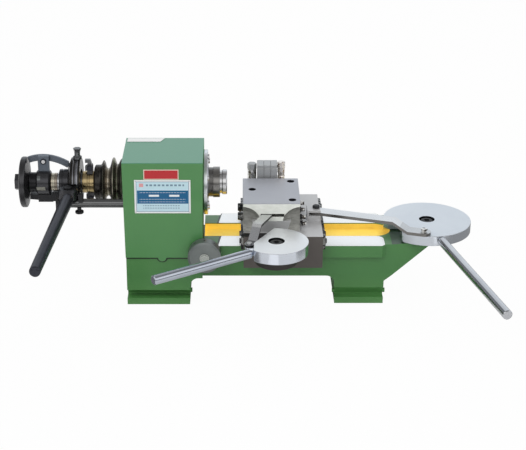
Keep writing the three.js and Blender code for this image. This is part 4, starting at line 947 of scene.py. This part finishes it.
def makeSupport():
    s = support
    low, high = span("support_bar")
    shoulder, radius = s.shoulder, s.barRadius
    bar = turned([(low.x, 5), (shoulder, 5), (shoulder, radius - 1), (shoulder + 1, radius),
                  (high.x, radius)], edge=0.4)
    show("supportBar", bar, "support_bar", "blackBar", shift((0, s.barY, s.barZ)))
    show("barClamp", block((-150, -61, high.z - 19.5), (-141, -49, high.z), 0.8), "support_bar", "blackFlat")
    showTurned("clampKnob", "bar_clamp_knob", "blackFlat",
               [(0, 7), *ridges(1, 1.05, 4, 8.2, 7.8, 0.5), (5, 7.4), (5.2, 4)], [(0, 4)], 0, 0.25, 48, 2,
               upAt(s.knobX, s.barY))
    showNode("cradleArm", "cradle_arm", 1, "blackFlat")
    low, high = span("guide_block")
    body = turned(ends("guide_block", [(0, 21), (3, 24)], [(-3, 24), (0, 21)]), guide.bore, 0.4)
    flat, far, floor = guide.flat, guide.far, guide.padFloor
    left, bottom, right, top = guide.pad
    cuts = [block((low.x - 5, -far, flat), (high.x + 5, far, far), 0),
            block((low.x - 5, -far, -far), (high.x + 5, far, -flat), 0),
            block((left, -far, bottom), (right, floor, top), 0)]
    show("guideBlock", carved(body, cuts), "guide_block", "blockOxide", spindleLine)
    low, high = span("lug_plate")
    middle = (low.x + high.x) / 2
    outline = rounded([(low.x, low.z), (high.x, low.z), (high.x, high.z), (low.x, high.z)], 1)
    lug = standing(plate(outline, -high.y, -low.y, 0.5, [circle(middle, s.eyeZ, s.eyeHole, 24)]))
    show("lugPlate", lug, "lug_plate", "blued")
    place = aim((middle, 0, s.eyeZ), yWay)
    showTurned("lugPin", "lug_pin", "slate", [(0.4, 4.8), (1.2, 5.8), (2, 5.8), (2, 4)], [(0, 4)],
               0, 0.3, 48, 1, place)
    # painted highlight: a bright disc on the pin's dark head
    showTurned("lugPinHighlight", "lug_pin", "bright", [(0, 3.6), (1, 3.6)], [], 0, 0.2, 40, 1, place)
    showNode("stopArm", "stop_arm", 1, "blued")


blockFinish()
makeLever()
makeSupport()
print("closer made")

# Adjusting wheel below the spindle
wheel = Sizes(x=89, z=111, radius=31.5, bore=6.3, holes=10, holeRadius=2, holeDepth=8)


def makeWheel():
    w = wheel
    low, high = span("adjusting_wheel")
    middle = Vector((w.x, 0, w.z))
    place = aim(middle, yWay)
    radius = w.radius
    outer = [(low.y, 27.5), (low.y + 1.6, radius), (high.y - 1.2, radius), (high.y, 30.3)]
    disc = moved(turned(outer, w.bore, 0.5, 128), place)
    holes = []
    for angle in around(w.holes, 0.5):
        way = Vector((math.cos(angle), 0, math.sin(angle)))
        start = Vector((w.x, (low.y + high.y) / 2, w.z)) + way * (radius - w.holeDepth)
        holes += drilled([start], w.holeRadius, 12, way, 20)
    show("adjustWheel", carved(disc, [joined(*holes)]), "adjusting_wheel", "wheelSteel")
    node = "adjusting_shaft"
    front = span(node)[0].y
    showTurned("wheelWasher", node, "brightPlain", [(1.8, 9.3), (3, 9.3)], [], 0, 0.2, 64, 1, place)
    show("wheelNut", hexPrism(7.6, front + 0.3, front + 1.9, 0.4), node, "brightPlain", place)
    showTurned("wheelStud", node, "brightPlain", [(0, 3.6), (0.5, 4), (3, 4), (3, 6)], [(0, 6)],
               0, 0.3, 48, 1, place)


makeWheel()

# Carriage: saddle, wipers, cross slide with its screws and knobs
saddle = Sizes(pin=(304, -8), pinHead=170.9, ledgeY=-84.2, darkEnd=212, ledgeEnd=270, top=149.5)
slide = Sizes(left=162, right=270, front=-84, back=47, top=210, bottom=150.3, rearBack=112, rearTop=182,
              rearLeft=166, rearRight=252, noseEnd=-62.5, scoop=(36, 20, 30), scoopLevel=174, out=3,
              wayLeft=187.7, wayRight=244.3, wayFloor=150, wayTop=174, wayWider=9, slot=(195, 240),
              slotLow=183.2, slotTop=189.2, slotDeep=34, gibZ=161, linkPin=(217, -62))
tap = Sizes(shares=((0.165, 0.56), (0.865, 0.88), (0.865, 0.15)), rim=7.9, dark=(-5.8, -0.2),
            outline=[(-14, 6.5), (-1, 6.5), (0.2, 7.6), (5, 7.6)])
post = Sizes(left=(180.3, 71), right=(238, 71), plates=3)


def tapPlaces():
    wide, deep = slide.right - slide.left, slide.back - slide.front
    return [(slide.left + x * wide, slide.front + y * deep, slide.top) for x, y in tap.shares]


def makeSaddle():
    showNode("saddleBody", "saddle", 0.8, "saddleIron")
    showNode("wiperLeft", "wiper_left", 0.5, "wornBlack")
    showNode("wiperRight", "wiper_right", 0.5, "wornBlack")
    # dark iron painted near black as shade under the small disc
    showNode("crankBracket", "small_crank_bracket", 1.2, "bracketIron")
    pin = slottedPin("clevis_pin", saddle.pinHead, 4, 7, (1.4, 5.6), (1.6, 0.7, 8))
    show("clevisPin", pin, "clevis_pin", "blackFlat", upAt(*saddle.pin))


def makeSlide():
    s = slide
    body = block((s.left, s.front, s.bottom), (s.right, s.back, s.top), 0.9)
    step = block((s.rearLeft, s.back - 5, s.bottom), (s.rearRight, s.rearBack, s.rearTop), 0.9)
    body = carved(body, [step], "UNION")
    left, right, floor, top = s.wayLeft, s.wayRight, s.wayFloor, s.wayTop
    dovetail = [(left, floor - 10), (right, floor - 10), (right, floor), (right + s.wayWider, top),
                (right + s.wayWider, top + 0.3), (left - s.wayWider, top + 0.3), (left - s.wayWider, top),
                (left, floor)]
    cutters = [standing(plate(dovetail, -s.rearBack - 9, -s.front + 9, 0.01))]
    for x in (s.left - s.out, s.right + s.out):
        ball = bmesh.new()
        bmesh.ops.create_uvsphere(ball, u_segments=96, v_segments=48, radius=1)
        place = shift((x, s.front - s.out, s.scoopLevel))
        cutters.append(moved(ball, place @ Matrix.Diagonal((*s.scoop, 1))))
    for place in tapPlaces():
        cutters.append(aimed(turned(tap.outline, edge=0, sides=48), place, zWay))
    slotLeft, slotRight = s.slot
    cutters.append(block((slotLeft, s.front - 9, s.slotLow),
                         (slotRight, s.front + s.slotDeep, s.slotTop), 0))
    show("crossSlide", carved(body, cutters), "cross_slide", "slideGround", smooth=30)
    pin = turned([(s.slotLow - 1, 3), (s.slotTop + 1, 3)], edge=0.3, sides=32)
    show("slideLinkPin", pin, "cross_slide", "bright", upAt(*slide.linkPin))
    for i in range(1, 5):
        node = f"gib_screw_{i}"
        low, high = span(node)
        place = shift((0, (low.y + high.y) / 2, s.gibZ))
        show(f"gibNut{i}", hexPrism(6.4, low.x + 0.2, low.x + 5.5, 0.5), node, "wornBlack", place)
        showTurned(f"gibScrew{i}", node, "boltSpotted", [(5, 3.8)], [(-0.8, 3.8), (0, 3)],
                   0, 0.3, 40, 0, place)
    for i in (1, 2):
        node = f"stop_knob_{i}"
        low, high = span(node)
        place = shift((0, (low.y + high.y) / 2, (low.z + high.z) / 2))
        rings = ridges(1.2, 1.5, 5, 8, 7.5, 0.7)
        showTurned(f"stopKnob{i}", node, "wornBlack", [(0, 6.4), *rings], [(-0.1, 7.4)], 0, 0.2, 64, 0, place)


def makePost():
    for i in range(1, post.plates + 1):
        showNode(f"postPlate{i}", f"tool_post_plate_{i}", 0.9, "postSteel")
    left, right = upAt(*post.left), upAt(*post.right)
    node = "tool_post_bolt_left"
    top = span(node)[1].z
    showTurned("postBoltLeft", node, "boltSpotted", [(0, 8.6)], [(-12, 8.6), (-11, 6.4)], 0, 0.4, 64, 2, left)
    show("postBoltLeftHead", hexPrism(9.4, top - 12, top, 1), node, "postSteel", left)
    showTurned("postBoltRight", "tool_post_bolt_right", "boltBrass", [(0, 7.2)],
               [(-30, 7.2), (-28, 6.4), (-24, 6.4), (-22, 7.2), (-13, 7.2), (-12, 7.8), (-7, 7.8), (-6, 6.8),
                (-5, 6.8), (-4, 7.8), (-1, 7.8), (0, 6.8)], 0, 0.4, 64, 2, right)


saddleFinish()
slideFinish()
makeSaddle()
makeSlide()
makePost()
print("carriage made")

# Hand cranks: discs, pivot screws, handles and their bent links
bigCrank = Sizes(x=521, y=0, bottom=123, thick=20, radius=85, handleTurn=-77.3, start=85.4, end=403.6,
                 root=60, pin=(-15, -74.5), notch=(-55, -5), pinHole=7.4)
smallCrank = Sizes(x=223, y=-161.5, bottom=146, thick=22, radius=59.5, handleTurn=213.5, start=57, end=263,
                   root=26, pin=(-50, -2), flatX=-42, cornerY=-9.3, chordX=-3, ear=(4, 12), earRadius=9,
                   earLong=12)
crankSizes = Sizes(recess=14.5, recessRim=15.4, darkRecess=15.3, recessDepth=8, screw=8, screwHead=12,
                   screwHole=8.3, handle=8.8, tang=5, tangHole=5.3, edge=0.9)
arm = Sizes(width=26, thick=6, level=160, dropStart=154, dropEnd=183, foot=saddle.pin, hole=4.3, pin=4,
            pinDeep=12, head=6.5, headThick=5)
link = Sizes(width=18, thick=4.6, level=183.7, dropStart=73, dropEnd=95, foot=slide.linkPin, hole=3.3, pin=3,
             pinDeep=8, head=5.5, headThick=3)
upright = Matrix.Rotation(-math.pi / 2, 4, "Y")


def crankPlace(crank):
    return shift((crank.x, crank.y, crank.bottom))


def crankPlate(crank, outline, holes, node, name, finish):
    c, top = crankSizes, crank.thick
    shape = plate(outline, 0, top, c.edge, [circle(0, 0, c.screwHole), *holes])
    sunk = turned([(top - c.recessDepth, c.recess), (top - 0.8, c.recess), (top + 0.2, c.recessRim),
                   (top + 3, c.recessRim)], edge=0, sides=96)
    angle = math.radians(crank.handleTurn)
    way = Vector((math.cos(angle), math.sin(angle), 0))
    socket = drilled([way * crank.root + Vector((0, 0, top / 2))], c.tangHole, 60, way, 48)
    shape = carved(shape, [moved(sunk, upAt(0, 0)), *socket])
    show(name, shape, node, finish, crankPlace(crank))


def across(radius, off):  # how far a circle's point lies off one axis when it is off the other by off
    return math.sqrt(radius ** 2 - off ** 2)


def makeBigCrank():
    c = bigCrank
    nx, ny = c.notch
    start, end = math.atan2(-across(c.radius, nx), nx), math.atan2(ny, -across(c.radius, ny))
    outline = [*arc(0, 0, c.radius, start, end + fullTurn, 140), c.notch]
    crankPlate(c, outline, [circle(*c.pin, c.pinHole)], "carriage_crank_disc", "bigDisc", "bigDiscSteel")


def makeSmallCrank():
    c = smallCrank
    start = math.atan2(-across(c.radius, c.flatX), c.flatX)
    end = math.atan2(across(c.radius, c.chordX), c.chordX)
    outline = [*arc(0, 0, c.radius, start, end, 110), (c.flatX, c.cornerY)]
    crankPlate(c, outline, [], "slide_crank_disc", "smallDisc", "smallDiscSteel")
    px, py = c.pin
    radius, right = c.earRadius, px + c.earLong
    outline = [(right, py + radius), *arc(px, py, radius, math.pi / 2, 3 * math.pi / 2), (right, py - radius)]
    ear = plate(outline, *c.ear, 0.6, [circle(px, py, 5, 32)])
    show("smallDiscEar", ear, "slide_crank_disc", "smallDiscSteel", crankPlace(c))


def makeCrankFittings(crank, side, grip):
    c, top, place, node = crankSizes, crank.thick, crankPlace(crank), f"{side}_pivot_screw"
    seat = top - c.recessDepth + 0.3
    foot = span(node)[0].z - crank.bottom
    screw = turned([(foot, c.screw), (seat, c.screw), (seat, c.screwHead), (top - 2.8, c.screwHead),
                    (top - 2, c.screwHead - 0.8)], edge=0.4)
    screw = carved(screw, [hexPrism(6, top - 6, top, 0)])
    show(f"{side}Screw", screw, node, "blackFlat", place @ upright)
    washer = turned([(seat, 14), (seat + 1, 14)], c.screwHead + 0.1, 0.3)
    show(f"{side}Washer", washer, node, "blackFlat", place @ upright)
    start, end, radius = crank.start, crank.end, c.handle
    rod = turned([(crank.root + 0.3, c.tang), (start, c.tang), (start, 6.6), (start + 2.5, radius),
                  (end - 1.6, radius), (end, radius - 1.4)], edge=0.4)
    turn = Matrix.Rotation(math.radians(crank.handleTurn), 4, "Z")
    rod = moved(rod, place @ shift((0, 0, top / 2)) @ turn)
    show(f"{side}Handle", rod, f"{side}_crank_handle", grip)


def bentStrip(bend, length, drop):  # a flat bar with round ends and one step down
    half, thick, far = bend.width / 2, bend.thick, length + bend.width / 2
    first, last = bend.dropStart, bend.dropEnd
    side = [(-half, 0), (first, 0), (last, -drop), (far, -drop), (far, thick - drop), (last, thick - drop),
            (first, thick), (-half, thick)]
    strip = standing(plate(side, -half, half, 0.02))
    quarter = math.pi / 2
    oval = [*arc(0, 0, half, quarter, 3 * quarter), *arc(length, 0, half, -quarter, quarter)]
    plan = plate(oval, -drop - 5, thick + 5, 0.02, [circle(0, 0, bend.hole, 32)])
    return eased(carved(strip, [plan], "INTERSECT"), 0.5, 2, 50)


def makeLink(bend, crank, seat, node, name, finish, studFinish):
    start = Vector(bend.foot)
    run = Vector((crank.x, crank.y)) + Vector(crank.pin) - start
    drop = bend.level - crank.bottom - seat - 0.4
    place = shift((*start, bend.level)) @ Matrix.Rotation(math.atan2(run.y, run.x), 4, "Z")
    show(name, bentStrip(bend, run.length, drop), node, finish, place)
    foot, head = bend.thick - drop, bend.head
    neck, top = foot + 1.2, foot + bend.headThick
    stud = turned([(-drop - bend.pinDeep, bend.pin), (foot - 0.1, bend.pin), (foot - 0.1, head * 0.72),
                   (neck, head * 0.72), (neck + 0.8, head * 0.6), (top - 1.6, head), (top - 0.5, head),
                   (top, head - 0.6)], edge=0.3, sides=48)
    show(f"{name}Stud", stud, node, studFinish, place @ shift((run.length, 0, 0)) @ upright)


ringMarked("bigDiscSteel", bigCrank, (0.75, 0.8, 0.86), (0.81, 0.86, 0.91), (0.72, 0.76, 0.82))
ringMarked("smallDiscSteel", smallCrank, (0.92, 0.95, 0.98), (0.97, 0.99, 1), (0.73, 0.77, 0.84))
# painted highlights on the bars' tops, painted shade on their sides
flatBar("armSteel", (0.92, 0.93, 0.94), (0.24, 0.23, 0.22), (0.7, 0.71, 0.72), 158)
flatBar("linkSteel", (0.74, 0.75, 0.76), (0.05, 0.05, 0.05), (0.4, 0.41, 0.43), 183.4)
makeBigCrank()
makeSmallCrank()
makeCrankFittings(bigCrank, "carriage", "handlePlain")
makeCrankFittings(smallCrank, "slide", "handleSteel")
makeLink(arm, bigCrank, bigCrank.thick, "carriage_arm", "carriageArm", "armSteel", "boltSpotted")
makeLink(link, smallCrank, smallCrank.ear[1], "slide_link", "slideLink", "linkSteel", "bright")
print("cranks made")

# Floor, lamps and world
studio = Sizes(floorSize=14, floorWhite=0.75, floorGlow=0.97, skyLight=0.6,
               cardLevel=0.001, aim=(0.15, -0.05, 0.12),
               lamps=(
                   ("keyLamp", (-1.3, -1.7, 2.3), 1.6, 26),
                   ("fillLamp", (1.9, -1.5, 1.6), 1.4, 12),
                   ("backLamp", (0.3, 1.9, 2.1), 1.8, 14),
               ),
               cards=(
                   ("rightCard", (0.6, -0.33, 1.2, 0.3), 0.3),
                   ("leftCard", (-0.5, -0.36, -0.03, -0.1), 0.2),
                   ("frontCard", (0.05, -0.9, 0.26, -0.47), 1),
                   ("sideCard", (0.6, -0.7, 0.7, -0.34), 1),
               ))


def sheet(name, left, front, right, back, level, finish):  # a flat sheet at a height, in metres
    mesh = bpy.data.meshes.new(name)
    corners = [(left, front, level), (right, front, level), (right, back, level), (left, back, level)]
    mesh.from_pydata(corners, [], [(0, 1, 2, 3)])
    mesh.materials.append(finish.material)
    return linked(name, mesh)


def makeFloor():
    half = studio.floorSize / 2
    f = Finish("floorPaper", Base_Color=(studio.floorWhite,) * 3, Roughness=0.9)
    glow = f.node("Emission", {}, {"Color": (1, 1, 1), "Strength": 1.0})
    seen = f.node("LightPath", {}, {}, "Is Camera Ray")
    paper = Wire(f, f.shader.outputs[0])
    both = f.node("MixShader", {}, {0: seen * studio.floorGlow, 1: paper, 2: glow})
    f.tree.links.new(both.socket, f.tree.nodes["Material Output"].inputs[0])
    floor = sheet("floor", -half, -half, half, half, 0, f)


class Sky(Finish):
    # The world's nodes, written as expressions too

    def __init__(self, world):
        self.tree = world.node_tree
        self.tree.nodes.clear()

    def place(self):
        return self.node("TexCoord", {}, {}, "Generated")


def makeWorld():  # white to the camera; to the metals a lit front, a dark ceiling and a pale back
    world = bpy.data.worlds.new("studio")
    bpy.context.scene.world = world
    world.use_nodes = True
    sky = Sky(world)
    side, deep, level = sky.axes()
    front = sky.ramp(level, (0.0, 0.16), (0.17, 0.14), (0.27, 1), (0.68, 1), (0.8, 0.3), (1, 0.26))
    back = sky.ramp(level, (0, (0.78, 0.83, 0.88)), (0.5, (0.86, 0.91, 0.96)), (0.72, 0.5), (1, 0.26))
    wide = sky.ramp(side.sum("ABSOLUTE", side), (0.36, 1), (0.5, 0.22), (0.75, 0.3), (0.9, 0.9))
    behind = sky.ramp(deep * 0.5 + 0.5, (0.5, 0), (0.6, 1))
    mirrored = sky.mix(behind, front, sky.mix(wide, (0, 0, 0), back))
    seen, glossy, clear = (sky.node("LightPath", {}, {}, f"Is {ray} Ray")
                           for ray in ("Camera", "Glossy", "Transmission"))
    colour = sky.mix(glossy, (studio.skyLight,) * 3, mirrored)
    colour = sky.mix(seen.sum("MAXIMUM", seen, clear), colour, (1, 1, 1))
    shown = sky.node("Background", {}, {"Color": colour, "Strength": 1.0})
    end = sky.tree.nodes.new("ShaderNodeOutputWorld")
    sky.tree.links.new(shown.socket, end.inputs[0])


def makeLamps():
    for name, place, size, power in studio.lamps:
        lamp = bpy.data.lights.new(name, "AREA")
        lamp.size, lamp.energy = size, power
        holder = linked(name, lamp)
        holder.location = place
        aimedAt = Vector(studio.aim) - Vector(place)
        holder.rotation_euler = aimedAt.to_track_quat("-Z", "Y").to_euler()
        holder.visible_glossy = False


def makeCards():  # on the floor, mirrored only in polished metal: dark beside it, "bright" before it
    for name, edges, white in studio.cards:
        f = Finish(name, Base_Color=(0, 0, 0), Roughness=1, Specular_IOR_Level=0, Emission_Color=(white,) * 3,
                   Emission_Strength=1)
        card = sheet(name, *edges, studio.cardLevel, f)
        card.visible_camera = card.visible_diffuse = card.visible_shadow = card.visible_transmission = False


makeFloor()
makeWorld()
makeLamps()
makeCards()
bpy.context.scene.view_settings.view_transform = "Standard"
print("studio made")
